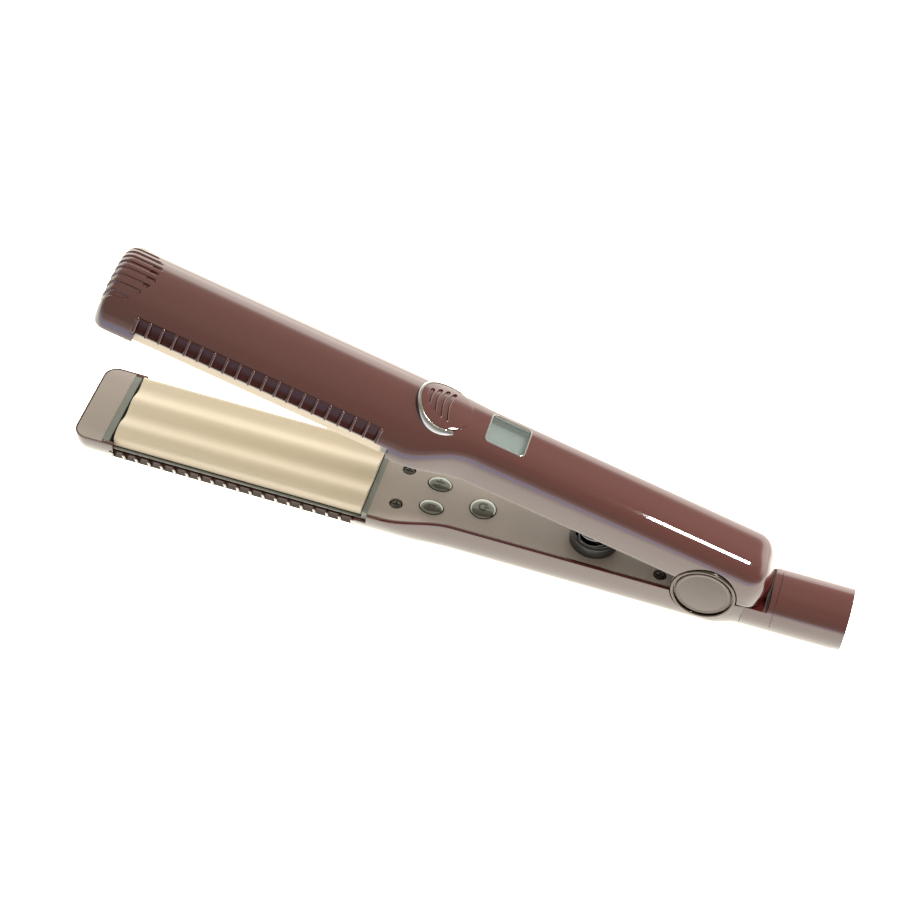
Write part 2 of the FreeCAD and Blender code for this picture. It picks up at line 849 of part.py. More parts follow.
def spring_pieces():
    x = d.hinge_x - d.spring_x
    radius = d.cup_radius
    inner = radius - 1.8
    high = d.cup_height
    deep = -d.cup_depth
    cup = [
        (0, deep),
        (radius, deep),
        (radius, high - 0.6),
        (radius - 0.6, high),
        (inner, high),
        (inner, deep + 1.2),
        (0, deep + 1.2),
    ]
    deliver(turned(x, 0, d.face_height, UNTURNED, cup), "spring_cup")
    seat = d.seat_radius
    down = -d.seat_length
    flange = d.seat_flange_radius
    plug = [
        (0, down),
        (seat - 0.8, down),
        (seat, down + 0.8),
        (seat, -0.6),
        (flange, -0.6),
        (flange, d.cover_thickness),
        (0, d.cover_thickness),
    ]
    deliver(turned(x, 0, upper.face, UNTURNED, plug), "spring_seat", upper)
    deliver(opening_spring(x), "opening_spring")


def opening_spring(x):
    """A coil from the cup's floor up to the seat under the upper arm."""
    helix = doc.addObject("Part::Helix", "Coil")
    length = d.spring_length
    bind(helix, Height=length, Radius=d.spring_radius, Pitch=length * (1 / d.spring_turns.number))
    wire = doc.addObject("Part::Circle", "Wire")
    bind(wire, Radius=d.spring_wire)
    put(wire, d.spring_radius, 0, 0, ACROSS)
    coil = doc.addObject("Part::Sweep", "Spring")
    coil.Sections = [wire]
    coil.Spine = (helix, ["Edge1"])
    coil.Solid = True
    coil.Frenet = True
    foot = d.face_height - d.cup_depth + 1.2 + d.spring_wire + 0.02
    coil.Placement.Base = FreeCAD.Vector(x.number, 0, foot.number)
    return coil


# ---- wiring ------------------------------------------------------------------


def wiring(arm, runs, label):
    """Insulated leads inside an arm; each run is (start, end, across, depth)."""
    leads = []
    for start, end, across, depth in runs:
        length = sized(start) - end
        leads.append(rod(0.9, length, d.hinge_x - start, across, arm.level(depth), ALONG))
    return deliver(group(leads), label, arm)


# ---- tail --------------------------------------------------------------------


def tail_rod(radius, start, end):
    return rod(radius, sized(end) - start, d.hinge_x + start, 0, d.tail_axis_height, ALONG)


def tail_turned(profile, label):
    """A body turned about the tail's axis; heights are from the hinge."""
    return deliver(turned(d.hinge_x, 0, d.tail_axis_height, ALONG, profile), label)


def collar():
    """The fixed collar, hollowed into a saddle for the upper arm's rear end."""
    body = tail_rod(d.tail_radius, d.collar_start, d.collar_end)
    spigot = tail_rod(d.spigot_radius, d.collar_end - 1, d.spigot_end - 2.3)
    passage = tail_rod(6.0, d.collar_start - 1, d.spigot_end)
    saddle_disc = rod(d.saddle_radius, 60, d.hinge_x, -30, hinge_height, ACROSS)
    above = box(d.hinge_x, -30, d.face_height - 0.6, 60, 60, 40)
    ground = box(0, -30, -5, 400, 60, 5)
    tools = [passage, common(saddle_disc, above), ground]
    deliver(cut(fused([body, spigot]), tools), "tail_collar")


def tail_pieces():
    collar()
    start = d.sleeve_start
    end = d.tail_reach
    radius = d.tail_radius
    bore = radius - d.sleeve_wall
    bearing = d.spigot_radius + d.running_gap
    sleeve = [
        (bearing, start),
        (radius, start),
        (radius, end - 0.6),
        (radius - 0.6, end),
        (bore, end),
        (bore, start + 5),
        (bearing, start + 5),
    ]
    tail_turned(sleeve, "swivel_sleeve")
    ring_start = d.spigot_end - 2.3
    keeper = [
        (6.0, ring_start),
        (bore - PLAY, ring_start),
        (bore - PLAY, d.spigot_end),
        (6.0, d.spigot_end),
    ]
    tail_turned(keeper, "swivel_keeper")
    socket = d.socket_radius
    floor = end - d.socket_length - 0.5
    core = [
        (0, floor - 1.5),
        (bore, floor - 1.5),
        (bore, end - 0.5),
        (socket, end - 0.5),
        (socket, floor),
        (0, floor),
    ]
    holes = contacts(floor)
    socket_body = turned(d.hinge_x, 0, d.tail_axis_height, ALONG, core)
    deliver(cut(socket_body, holes), "inlet_socket")
    deliver(group(contacts(floor)), "inlet_contacts")


def contacts(floor):
    """Two contact studs, flush with the socket's floor."""
    pair = []
    for side in (-1, 1):
        across = sized(2.6) * side
        start = d.hinge_x + floor - 1.5
        pair.append(rod(d.contact_radius, 1.5, start, across, d.tail_axis_height, ALONG))
    return pair


# ---- the whole crimper -------------------------------------------------------


def arm_pieces(arm, cover_openings):
    name = arm.name
    shell(arm, name + "_shell")
    nose_cover(arm, name + "_nose_cover")
    inner_cover(arm, name + "_inner_cover", cover_openings)
    rear_cover(arm, name + "_rear_cover")
    comb(arm, -1, name + "_comb_near")
    comb(arm, 1, name + "_comb_far")
    plate_frame(arm, name + "_plate_frame")
    plate(arm, name + "_plate")
    heater(arm, name + "_heater")
    cushions(arm, name + "_plate_cushions")
    carrier(arm, name + "_plate_carrier")
    screws(arm, name + "_cover_screws")


def model():
    arm_pieces(lower, button_openings())
    arm_pieces(upper, [post(upper, d.seat_flange_radius, d.spring_x, 0, -1, 5)])
    board(lower, sized(113.0), sized(64.0), d.board_top, "control_board")
    key_switches("key_switches")
    temperature_button(-1, "button_minus")
    temperature_button(1, "button_plus")
    power_button("power_button")
    display_pieces()
    thumb_pieces()
    hinge_pieces()
    upper_knuckle()
    lower_ears()
    hinge_side(-1, "near")
    hinge_side(1, "far")
    spring_pieces()
    sides = (-4.0, 0.0, 4.0)
    wiring(lower, [(130.0, 114.0, y, 6.0) for y in sides], "lower_wiring")
    wiring(upper, [(130.0, 101.0, y, 6.0) for y in sides], "upper_wiring")
    tail_pieces()


def check(item):
    failed = {"Invalid", "Error"} & set(item.State)
    if failed:
        raise RuntimeError("%s (%s) is %s" % (item.Name, item.Label, item.State))


def write():
    os.makedirs("parts", exist_ok=True)
    for item in subparts:
        if item.Shape.isNull() or not item.Shape.isValid():
            raise RuntimeError("%s has no valid shape" % item.Label)
    for item in subparts:
        item.Shape.exportStep("parts/%s.step" % item.Label)


model()
doc.recompute()
for item in doc.Objects:
    check(item)
write()
print(len(subparts), "sub-parts written")
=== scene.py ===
import json
import math

import bmesh
import bpy
import numpy as np
from mathutils import Matrix, Vector


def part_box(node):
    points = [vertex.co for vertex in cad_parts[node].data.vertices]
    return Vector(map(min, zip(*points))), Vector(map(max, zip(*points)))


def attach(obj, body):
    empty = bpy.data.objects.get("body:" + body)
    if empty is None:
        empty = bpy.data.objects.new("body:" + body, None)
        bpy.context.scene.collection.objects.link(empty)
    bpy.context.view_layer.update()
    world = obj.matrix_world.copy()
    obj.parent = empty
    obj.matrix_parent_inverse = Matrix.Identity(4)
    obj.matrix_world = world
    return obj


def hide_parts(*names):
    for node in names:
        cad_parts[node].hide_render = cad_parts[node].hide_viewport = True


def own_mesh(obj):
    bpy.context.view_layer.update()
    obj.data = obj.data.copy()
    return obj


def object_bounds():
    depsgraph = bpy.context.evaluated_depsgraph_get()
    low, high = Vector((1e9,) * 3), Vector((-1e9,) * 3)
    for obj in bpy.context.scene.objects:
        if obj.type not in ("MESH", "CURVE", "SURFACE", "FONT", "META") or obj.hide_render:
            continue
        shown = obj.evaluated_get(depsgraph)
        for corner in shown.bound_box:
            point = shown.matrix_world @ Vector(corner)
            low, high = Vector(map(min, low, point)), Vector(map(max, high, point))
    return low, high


# A hair crimper: two glossy burgundy arms, hinged and sprung open, with waved heating plates.
# Everything is in metres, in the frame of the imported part. An arm's pieces are made shut and
# level, as in the part, and an Arm then puts them where the part has them.
# Along an arm, "from the hinge" is positive towards the nose. Depth is measured outwards from
# the arm's flat inner face.

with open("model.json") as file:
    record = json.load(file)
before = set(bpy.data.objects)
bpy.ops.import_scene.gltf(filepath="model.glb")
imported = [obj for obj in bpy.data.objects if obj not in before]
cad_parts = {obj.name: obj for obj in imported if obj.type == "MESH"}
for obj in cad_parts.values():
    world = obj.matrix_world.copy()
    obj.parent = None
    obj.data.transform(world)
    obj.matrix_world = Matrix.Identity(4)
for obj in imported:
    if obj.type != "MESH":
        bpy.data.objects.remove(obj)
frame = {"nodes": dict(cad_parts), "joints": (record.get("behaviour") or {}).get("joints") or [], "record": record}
cad_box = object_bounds()

MM = 0.001

# ---- sizes taken from the part ----

record = frame["record"]
BODY_OF = {node: body for body, nodes in record["behaviour"]["bodies"].items() for node in nodes}
SLOT_OF = {piece["node"]: piece["material_slot"] for piece in record["subparts"]}
HINGE_JOINT = next(joint for joint in frame["joints"] if joint["name"] == "arm_hinge")
HINGE = Vector(HINGE_JOINT["pos_m"])
OPEN_ANGLE = -math.radians(HINGE_JOINT["range_deg"][0])


def low(node):
    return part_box(node)[0]


def high(node):
    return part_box(node)[1]


def from_hinge(x):
    return HINGE.x - x


FACE = high("lower_inner_cover").z
NOSE_REACH = from_hinge(low("lower_shell").x)
NOSE_HALF_WIDTH = high("lower_shell").y
ARM_DEPTH = FACE + 0.17 * MM
HANDLE_RIM = 1.7 * MM
NOSE_RIM = 0.5 * MM
HANDLE_HALF_WIDTH = high("upper_rear_cover").y + HANDLE_RIM
NOSE_ROUND = 5.5 * MM
NOSE_DEPTH_SHARE = 0.9
SHOULDER_FRONT = 122.0 * MM
SHOULDER_BACK = 95.0 * MM
COVER_THICKNESS = FACE - low("lower_nose_cover").z
NOSE_COVER_END = from_hinge(high("lower_nose_cover").x)
NOTCH_FRONT = 226.0 * MM
FRAME_BACK = from_hinge(high("lower_plate_frame").x)
FRAME_HALF_WIDTH = high("lower_plate_frame").y
RIM_DEPTH = 4.0 * MM
COMB_DEPTH = 9.8 * MM
COMB_FRONT = from_hinge(low("lower_comb_near").x)
COMB_BACK = from_hinge(high("lower_comb_near").x)
PLATE_FRONT = from_hinge(low("lower_plate").x)
PLATE_BACK = from_hinge(high("lower_plate").x)
PLATE_HALF_WIDTH = high("lower_plate").y
REAR_ROUND_START = 10.8 * MM
REAR_ROUND_LENGTH = 12.0 * MM
TAPER_START = 4.0 * MM
COLLAR_START = HINGE.x + 15.5 * MM
TAIL_RADIUS = high("swivel_sleeve").y
TAIL_AXIS = high("swivel_sleeve").z - TAIL_RADIUS
TAIL_END = high("swivel_sleeve").x
CAP_RADIUS = high("hinge_cap_far").x - HINGE.x
CAP_FACE = high("cap_badge_far").y
POCKET_RADIUS = CAP_RADIUS + 0.35 * MM
POCKET_FLOOR = 11.1 * MM
OUTSIDE = 30.0 * MM
DISPLAY_MIDDLE = 89.25 * MM
DISPLAY_HALF = 7.95 * MM
DISPLAY_HALF_WIDTH = 7.2 * MM
DISPLAY_CORNER = 1.7 * MM
PLAY = 0.3 * MM


class Arm:
    """One arm: the height of its inner face when shut, which way is outwards, and its place."""

    def __init__(self, name, face, outwards, place):
        self.name = name
        self.face = face
        self.outwards = outwards
        self.place = place

    def at(self, reach, across, depth):
        """The point of the shut arm at a distance from the hinge, across it, and at a depth."""
        return Vector((HINGE.x - reach, across, self.face + self.outwards * depth))

    def put(self, obj):
        obj.data.transform(self.place)
        return obj


opened = Matrix.Translation(HINGE) @ Matrix.Rotation(OPEN_ANGLE, 4, "Y") @ Matrix.Translation(-HINGE)
LOWER = Arm("lower", FACE, -1, Matrix.Identity(4))
UPPER = Arm("upper", 2 * HINGE.z - FACE, 1, opened)
ARMS = (LOWER, UPPER)


# ---- materials ----


class Nodes:
    """A node tree being built."""

    def __init__(self, tree):
        self.tree = tree

    def feed(self, socket, value):
        if isinstance(value, bpy.types.NodeSocket):
            self.tree.links.new(value, socket)
        else:
            socket.default_value = value

    def fill(self, node, **inputs):
        for name, value in inputs.items():
            self.feed(node.inputs[name.replace("_", " ")], value)
        return node

    def add(self, kind, **inputs):
        return self.fill(self.tree.nodes.new(kind), **inputs)

    def stretched(self, source, start, end, smallest=0.0, largest=1.0):
        """The source's stretch from start to end, mapped onto smallest to largest."""
        limits = {"From_Min": start, "From_Max": end, "To_Min": smallest, "To_Max": largest}
        return self.add("ShaderNodeMapRange", Value=source, **limits)

    def ramp(self, source, stops):
        """Colours blended from stop to stop, each a place and a colour."""
        node = self.add("ShaderNodeValToRGB", Fac=source)
        elements = node.color_ramp.elements
        while len(elements) < len(stops):
            elements.new(0.5)
        for element, (place, colour) in zip(elements, stops):
            element.position = place
            element.color = (*colour, 1)
        return node.outputs["Color"]

    def mixed(self, share, first, second):
        node = self.add("ShaderNodeMix")
        node.data_type = "RGBA"
        self.feed(node.inputs[0], share)
        self.feed(node.inputs[6], first)
        self.feed(node.inputs[7], second)
        return node.outputs[2]


class Finish(Nodes):
    """A node material being built: its shader, and the nodes that feed it."""

    def __init__(self, name):
        self.name = name
        self.material = bpy.data.materials.new(name)
        self.material.use_nodes = True
        super().__init__(self.material.node_tree)
        self.place = self.add("ShaderNodeTexCoord").outputs["Object"]

    def set(self, **inputs):
        self.fill(self.tree.nodes["Principled BSDF"], **inputs)

    def noise(self, scale, detail=3.0, stretch=(1, 1, 1)):
        """Noise in the object's own space; stretch multiplies its frequency along each axis."""
        mapping = self.add("ShaderNodeMapping", Vector=self.place, Scale=stretch)
        made = self.add("ShaderNodeTexNoise", Vector=mapping.outputs[0], Scale=scale, Detail=detail)
        return made.outputs["Fac"]

    def blend(self, source, first, last, start=0.3, end=0.7):
        return self.ramp(source, [(start, first), (end, last)])

    def span(self, source, smallest, largest):
        return self.stretched(source, 0.3, 0.7, smallest, largest).outputs["Result"]

    def bump(self, height, distance):
        return self.add("ShaderNodeBump", Height=height, Distance=distance).outputs["Normal"]


def moulded(name, dark, light, roughness, grain=1400.0, relief=0.012 * MM, **more):
    """Moulded plastic, rubber or paint: mottled colour, fine grain and uneven gloss."""
    finish = Finish(name)
    colour = finish.blend(finish.noise(55.0), dark, light)
    gloss = finish.span(finish.noise(170.0, 5.0), roughness * 0.88, roughness * 1.12)
    finish.set(Base_Color=colour, Roughness=gloss)
    finish.set(Normal=finish.bump(finish.noise(grain, 2.0), relief))
    finish.set(**more)
    return finish


def lacquer(name, nose, tail, pearl, coat=1.0):
    """Lacquer with a fine pearl under a deep clear coat, with painted light: darker at the nose and lighter
    towards the tail, as if lit more strongly near the hinge.
    """
    finish = Finish(name)
    # Painted light: the colour is blended along X from the darker nose tone to the lighter tail tone, standing in
    # for light that falls more strongly near the hinge.
    along = finish.add("ShaderNodeSeparateXYZ", Vector=finish.place).outputs["X"]
    shift = finish.add("ShaderNodeMath", Value=along)
    shift.operation = "ADD"
    finish.feed(shift.inputs[1], finish.span(finish.noise(14.0), -0.02, 0.02))
    spread = finish.stretched(shift.outputs["Value"], -0.13, 0.09)
    tone = finish.blend(spread.outputs["Result"], nose, tail, 0.0, 1.0)
    flakes = finish.span(finish.noise(5200.0, 1.0), 0.0, 0.4)
    finish.set(Base_Color=finish.mixed(flakes, tone, (*pearl, 1)), Metallic=0.0)
    finish.set(Roughness=finish.span(finish.noise(90.0), 0.45, 0.55), Specular_IOR_Level=0.0)
    finish.set(Coat_Weight=coat, Coat_Roughness=0.035, Coat_IOR=1.55)
    finish.set(Coat_Normal=finish.bump(finish.noise(420.0, 1.0), 0.004 * MM))
    return finish


def champagne():
    """Satin champagne ceramic over drawn aluminium, with fine lines along the plate."""
    finish = Finish("plate_champagne")
    lines = finish.noise(900.0, 4.0, (0.012, 1, 1))
    tone = finish.blend(lines, (0.475, 0.418, 0.330), (0.515, 0.455, 0.365), 0.25, 0.75)
    finish.set(Base_Color=tone, Metallic=0.05, Roughness=finish.span(lines, 0.50, 0.60))
    finish.set(Specular_IOR_Level=0.25, Normal=finish.bump(lines, 0.004 * MM))
    return finish


def polished(name, dark, light, roughness, grain=700.0):
    """Plated or bare metal with faint polishing marks."""
    finish = Finish(name)
    marks = finish.noise(grain, 5.0, (0.08, 1, 1))
    finish.set(Base_Color=finish.blend(marks, dark, light), Metallic=1.0)
    finish.set(Roughness=finish.span(marks, roughness * 0.8, roughness * 1.25))
    finish.set(Normal=finish.bump(marks, 0.003 * MM))
    return finish


def window_clear():
    """A clear plastic pane with a polished face."""
    coating = {"Alpha": 0.12, "Coat_Weight": 1.0, "Coat_Roughness": 0.02}
    return moulded("window_clear", (0.25, 0.30, 0.28), (0.29, 0.34, 0.32), 0.06, 300.0, 0.002 * MM, **coating)


def display_lcd():
    """The panel's grey-green, with the faint rows of its cells."""
    finish = Finish("display_lcd")
    rows = finish.add("ShaderNodeTexWave", Vector=finish.place, Scale=900.0)
    rows.bands_direction = "X"
    tone = finish.blend(rows.outputs["Fac"], (0.090, 0.112, 0.110), (0.104, 0.128, 0.124))
    finish.set(Base_Color=tone)
    finish.set(Roughness=finish.span(finish.noise(200.0), 0.3, 0.4))
    return finish


def make_materials():
    """A material for each of the record's slots."""
    rough = {"grain": 2600.0, "relief": 0.02 * MM}
    made = [
        # In both lacquers the nose colour is darker than the tail colour: painted light, lighter where the light
        # falls more strongly near the hinge.
        lacquer("burgundy_gloss", (0.031, 0.0050, 0.0040), (0.046, 0.0075, 0.0064), (0.065, 0.013, 0.011)),
        lacquer("comb_dark", (0.022, 0.0050, 0.0045), (0.030, 0.0060, 0.0055), (0.04, 0.009, 0.008), 0.2),
        champagne(),
        window_clear(),
        display_lcd(),
        moulded("taupe_cover", (0.205, 0.173, 0.156), (0.222, 0.189, 0.171), 0.48, **rough),
        moulded("frame_grey", (0.100, 0.110, 0.100), (0.118, 0.128, 0.117), 0.42),
        moulded("heater_ceramic", (0.62, 0.60, 0.55), (0.72, 0.70, 0.66), 0.6),
        moulded("carrier_black", (0.018, 0.018, 0.018), (0.030, 0.029, 0.028), 0.55, **rough),
        moulded("silicone", (0.45, 0.42, 0.38), (0.52, 0.49, 0.45), 0.5, Subsurface_Weight=0.2),
        moulded("black_moulding", (0.012, 0.0115, 0.011), (0.018, 0.017, 0.016), 0.42),
        moulded("badge", (0.050, 0.030, 0.021), (0.060, 0.037, 0.027), 0.35,
                Coat_Weight=0.55, Specular_IOR_Level=0.1),
        moulded("board", (0.008, 0.055, 0.022), (0.012, 0.075, 0.030), 0.4, Coat_Weight=0.4),
        moulded("switch", (0.02, 0.02, 0.02), (0.035, 0.035, 0.035), 0.5),
        moulded("wire", (0.30, 0.03, 0.02), (0.38, 0.04, 0.03), 0.45),
        moulded("button_metal", (0.105, 0.112, 0.098), (0.135, 0.141, 0.125), 0.17, 900.0, 0.003 * MM,
                Metallic=0.85, Coat_Weight=0.5),
        polished("steel", (0.045, 0.041, 0.037), (0.085, 0.078, 0.070), 0.28),
        polished("spring_steel", (0.10, 0.10, 0.11), (0.18, 0.18, 0.19), 0.30),
        polished("bush_bronze", (0.33, 0.20, 0.09), (0.42, 0.27, 0.13), 0.4),
        polished("chrome_trim", (0.19, 0.188, 0.18), (0.24, 0.238, 0.23), 0.10),
        polished("contact", (0.60, 0.42, 0.15), (0.72, 0.52, 0.22), 0.2),
    ]
    return {finish.name: finish.material for finish in made}


materials = make_materials()
ring_finish = polished("ring_satin", (0.055, 0.046, 0.040), (0.072, 0.061, 0.054), 0.18).material
symbol_finish = moulded("symbol_dark", (0.008, 0.008, 0.008), (0.015, 0.015, 0.014), 0.35).material


# ---- mesh tools ----


def made(name, vertices, faces):
    mesh = bpy.data.meshes.new(name)
    mesh.from_pydata([tuple(v) for v in vertices], [], faces)
    mesh.validate()
    obj = bpy.data.objects.new(name, mesh)
    bpy.context.scene.collection.objects.link(obj)
    return outward(obj)


def outward(obj):
    bm = bmesh.new()
    bm.from_mesh(obj.data)
    bmesh.ops.remove_doubles(bm, verts=bm.verts, dist=1e-7)
    bmesh.ops.recalc_face_normals(bm, faces=bm.faces)
    bm.to_mesh(obj.data)
    bm.free()
    return obj


def baked(obj):
    """Puts an object's modifiers into its mesh."""
    graph = bpy.context.evaluated_depsgraph_get()
    before = obj.data
    obj.data = bpy.data.meshes.new_from_object(obj.evaluated_get(graph))
    obj.modifiers.clear()
    bpy.data.meshes.remove(before)
    return obj


def bevelled(obj, width, segments=3, sharper_than=38.0):
    bevel = obj.modifiers.new("Bevel", "BEVEL")
    bevel.width = width
    bevel.segments = segments
    bevel.limit_method = "ANGLE"
    bevel.angle_limit = math.radians(sharper_than)
    bevel.miter_outer = "MITER_ARC"
    return baked(obj)


def carved(obj, *cutters, operation="DIFFERENCE"):
    for cutter in cutters:
        cut = obj.modifiers.new("Cut", "BOOLEAN")
        cut.operation = operation
        cut.solver = "EXACT"
        cut.object = cutter
    baked(obj)
    for cutter in cutters:
        bpy.data.objects.remove(cutter)
    return obj


def joined(name, *objs):
    bm = bmesh.new()
    for obj in objs:
        bm.from_mesh(obj.data)
    mesh = bpy.data.meshes.new(name)
    bm.to_mesh(mesh)
    bm.free()
    for obj in objs:
        bpy.data.objects.remove(obj)
    whole = bpy.data.objects.new(name, mesh)
    bpy.context.scene.collection.objects.link(whole)
    return whole


def smooth(obj, sharp_angle=32.0, weighted=True):
    obj.data.shade_smooth()
    obj.data.set_sharp_from_angle(angle=math.radians(sharp_angle))
    if weighted:
        even = obj.modifiers.new("Even", "WEIGHTED_NORMAL")
        even.keep_sharp = True
        even.weight = 80
    return baked(obj)


def extra(obj, name, node, finish):
    """Names a piece, and gives it a finish and a node's body."""
    obj.name = name
    obj.data.materials.clear()
    obj.data.materials.append(finish)
    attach(obj, BODY_OF[node])
    return obj


def deliver(obj, node, finish=None):
    """Gives a finished piece its look and its body, in place of the CAD node it stands for."""
    extra(obj, node + "_look", node, finish or materials[SLOT_OF[node]])
    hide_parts(node)
    return obj


def woven(name, loops, closed=False, ring=True):
    """A mesh through loops of points: capped at its ends, or closed round to its first loop."""
    count = len(loops[0])
    faces = []
    for level in range(len(loops) if closed else len(loops) - 1):
        here, there = level * count, (level + 1) % len(loops) * count
        for index in range(count if ring else count - 1):
            after = (index + 1) % count
            faces.append((here + index, here + after, there + after, there + index))
    if not closed:
        last = (len(loops) - 1) * count
        faces += [tuple(range(count)), tuple(range(last, last + count))]
    return made(name, [point for loop in loops for point in loop], faces)


def turn_at(step, steps):
    return 2 * math.pi * step / steps


def in_mm(profile):
    return [(radius * MM, height * MM) for radius, height in profile]


def lathe(name, profile, place, steps=96, widths=(1.0, 1.0)):
    """A closed body turned about its own Z; the profile is (radius, height) points in order."""
    loops = []
    for step in range(steps):
        x = math.cos(turn_at(step, steps)) * widths[0]
        y = math.sin(turn_at(step, steps)) * widths[1]
        loops.append([place @ Vector((radius * x, radius * y, height)) for radius, height in profile])
    return woven(name, loops, True, profile[0][0] > 0)


def prism(name, outline, bottom, top):
    """A straight solid over a closed outline of (x, y) points."""
    return woven(name, [[(x, y, z) for x, y in outline] for z in (bottom, top)])


def arm_prism(name, arm, outline, shallow, deep):
    """A prism over an outline of (from hinge, across) points, between two depths of an arm."""
    placed = [(HINGE.x - reach, across) for reach, across in outline]
    heights = sorted((arm.face + arm.outwards * shallow, arm.face + arm.outwards * deep))
    return prism(name, placed, *heights)


def arm_bar(name, arm, profile, front, back):
    """A straight solid along an arm, over a closed profile of (across, depth) points."""
    return woven(name, [[arm.at(reach, *point) for point in profile] for reach in (front, back)])


def oval(reach, across, long, short, steps=48):
    turns = [turn_at(step, steps) for step in range(steps)]
    return [(reach + long * math.cos(turn), across + short * math.sin(turn)) for turn in turns]


def disc(reach, across, radius, steps=48):
    return oval(reach, across, radius, radius, steps)


def rounded_box(reach, across, half_long, half_short, radius, steps=8):
    """An outline with rounded corners, centred at a distance from the hinge."""
    outline = []
    corners = ((1, 1, 0), (-1, 1, 1), (-1, -1, 2), (1, -1, 3))
    for along, side, quarter in corners:
        for step in range(steps + 1):
            turn = math.pi / 2 * (quarter + step / steps)
            x = along * (half_long - radius) + radius * math.cos(turn)
            y = side * (half_short - radius) + radius * math.sin(turn)
            outline.append((reach + x, across + y))
    return outline


# ---- the arms' form ----


def eased(amount):
    return 0.5 - 0.5 * math.cos(math.pi * min(1.0, max(0.0, amount)))


def section(arm, reach):
    """Half width, depth and squareness of an arm's outside at a distance from the hinge."""
    slim = eased((SHOULDER_FRONT - reach) / (SHOULDER_FRONT - SHOULDER_BACK))
    half_width = NOSE_HALF_WIDTH + (HANDLE_HALF_WIDTH - NOSE_HALF_WIDTH) * slim
    squareness = 2.0 + 1.2 * slim
    if arm is LOWER and reach < -TAPER_START:
        taper = eased((-TAPER_START - reach) / (COLLAR_START - HINGE.x - TAPER_START))
        half_width += (TAIL_RADIUS - half_width) * taper
        squareness -= 0.8 * taper
    return half_width, ARM_DEPTH, squareness


def nose_station(turn, share, inset):
    """A section of the nose's rounding, or of its flat end when share is under 1."""
    radius = NOSE_ROUND - inset
    back = radius * (1 - math.cos(turn))
    reach = NOSE_REACH - NOSE_ROUND + radius * math.sin(turn)
    half_width = NOSE_HALF_WIDTH - inset - back
    depth = ARM_DEPTH - inset - back * NOSE_DEPTH_SHARE
    return reach, half_width * share, depth * share, 2.0


def body_station(arm, reach, inset):
    half_width, depth, squareness = section(arm, reach)
    return reach, half_width - inset, depth - inset, squareness


def dome_station(arm, turn, inset):
    """A section of the upper arm's domed rear end."""
    along = math.sin(turn)
    reach = -REAR_ROUND_START - (REAR_ROUND_LENGTH - inset) * along
    half_width, depth, squareness = section(arm, reach)
    narrow = max(0.0, 1 - along**2.4) ** (1 / 2.4)
    return reach, (half_width - inset) * narrow, (depth - inset) * math.cos(turn), squareness


def station_list(arm):
    """The arm's sections from its nose to its rear, as functions of the inset."""
    shares = [step / 12 for step in range(12)]
    listed = [lambda inset, s=share: nose_station(math.pi / 2, s, inset) for share in shares]
    turns = [math.pi / 2 * (1 - step / 10) for step in range(11)]
    listed += [lambda inset, t=turn: nose_station(t, 1.0, inset) for turn in turns]
    groove_step = 0.8 if arm is UPPER else 2.0
    runs = [(NOSE_COVER_END, 0.8), (COMB_FRONT, 0.8), (NOTCH_FRONT, 0.8)]
    runs += [(NOTCH_FRONT - 8 * MM, groove_step), (COMB_BACK, 2.4), (FRAME_BACK, 1.2), (SHOULDER_BACK, 0.8)]
    if arm is UPPER:
        runs.append((-REAR_ROUND_START, 2.2))
    else:
        runs += [(-TAPER_START, 2.2), (HINGE.x - COLLAR_START, 0.9)]
    start = NOSE_REACH - NOSE_ROUND
    for end, step in runs:
        count = max(1, round((start - end) / (step * MM)))
        places = [start + (end - start) * index / count for index in range(1, count + 1)]
        listed += [lambda inset, p=place: body_station(arm, p, inset) for place in places]
        start = end
    if arm is UPPER:
        turns = [math.pi / 2 * step / 18 for step in range(1, 19)]
        listed += [lambda inset, t=turn: dome_station(arm, t, inset) for turn in turns]
    return listed


def half_curve(half_width, depth, squareness):
    """Points of a section's outside from its near rim round to its far rim."""
    turn = np.linspace(0, math.pi, 1200)
    power = 2.0 / squareness
    across = -np.sign(np.cos(turn)) * np.abs(np.cos(turn)) ** power * half_width
    down = np.abs(np.sin(turn)) ** power * depth
    down[-1] = 0.0
    return across, down


def arc_shares(across, down):
    steps = np.hypot(np.diff(across), np.diff(down))
    return np.concatenate([[0.0], np.cumsum(steps)]) / max(steps.sum(), 1e-12)


def row_shares(crown_rows):
    """Where the shell's rows lie round a section, and which rows are the comb's two edges."""
    across, down = half_curve(NOSE_HALF_WIDTH, ARM_DEPTH, 2.0)
    shares = arc_shares(across, down)
    half = len(shares) // 2
    frame_share = float(np.interp(RIM_DEPTH, down[:half], shares[:half]))
    comb_share = float(np.interp(COMB_DEPTH, down[:half], shares[:half]))
    frame_row, comb_row, past_comb = 4, 10, 0.012
    side = list(np.linspace(0, frame_share, frame_row + 1))
    side += list(np.linspace(frame_share, comb_share, comb_row - frame_row + 1))[1:]
    crown = list(np.linspace(comb_share + past_comb, 1 - comb_share - past_comb, crown_rows))
    rows = side + crown + [1 - share for share in reversed(side)]
    return np.array(rows), frame_row, comb_row


def skin(stations, rows, inset):
    """The grid of an arm's outside, or of the surface an inset inside it."""
    grid = np.zeros((len(stations), len(rows), 3))
    for index, station in enumerate(stations):
        reach, half_width, depth, squareness = station(inset(station(0.0)[0]))
        across, down = half_curve(half_width, depth, squareness)
        shares = arc_shares(across, down)
        y = np.interp(rows, shares, across)
        v = np.interp(rows, shares, down)
        grid[index] = np.stack([np.full(len(rows), reach), y, v], axis=1)
    return grid


def grid_normals(grid):
    """The grid's unit normals, out of the arm."""
    normals = np.cross(np.gradient(grid, axis=1), np.gradient(grid, axis=0))
    normals /= np.maximum(np.linalg.norm(normals, axis=2, keepdims=True), 1e-12)
    crown = normals[grid.shape[0] // 2, grid.shape[1] // 2]
    return normals if crown[2] > 0 else -normals


def stepped(value, start, end):
    share = np.clip((value - start) / (end - start), 0.0, 1.0)
    return share * share * (3 - 2 * share)


PAD_RADIUS = 15.6 * MM
PAD_PITCH = 3.25 * MM
PAD_GROOVE = 1.0 * MM


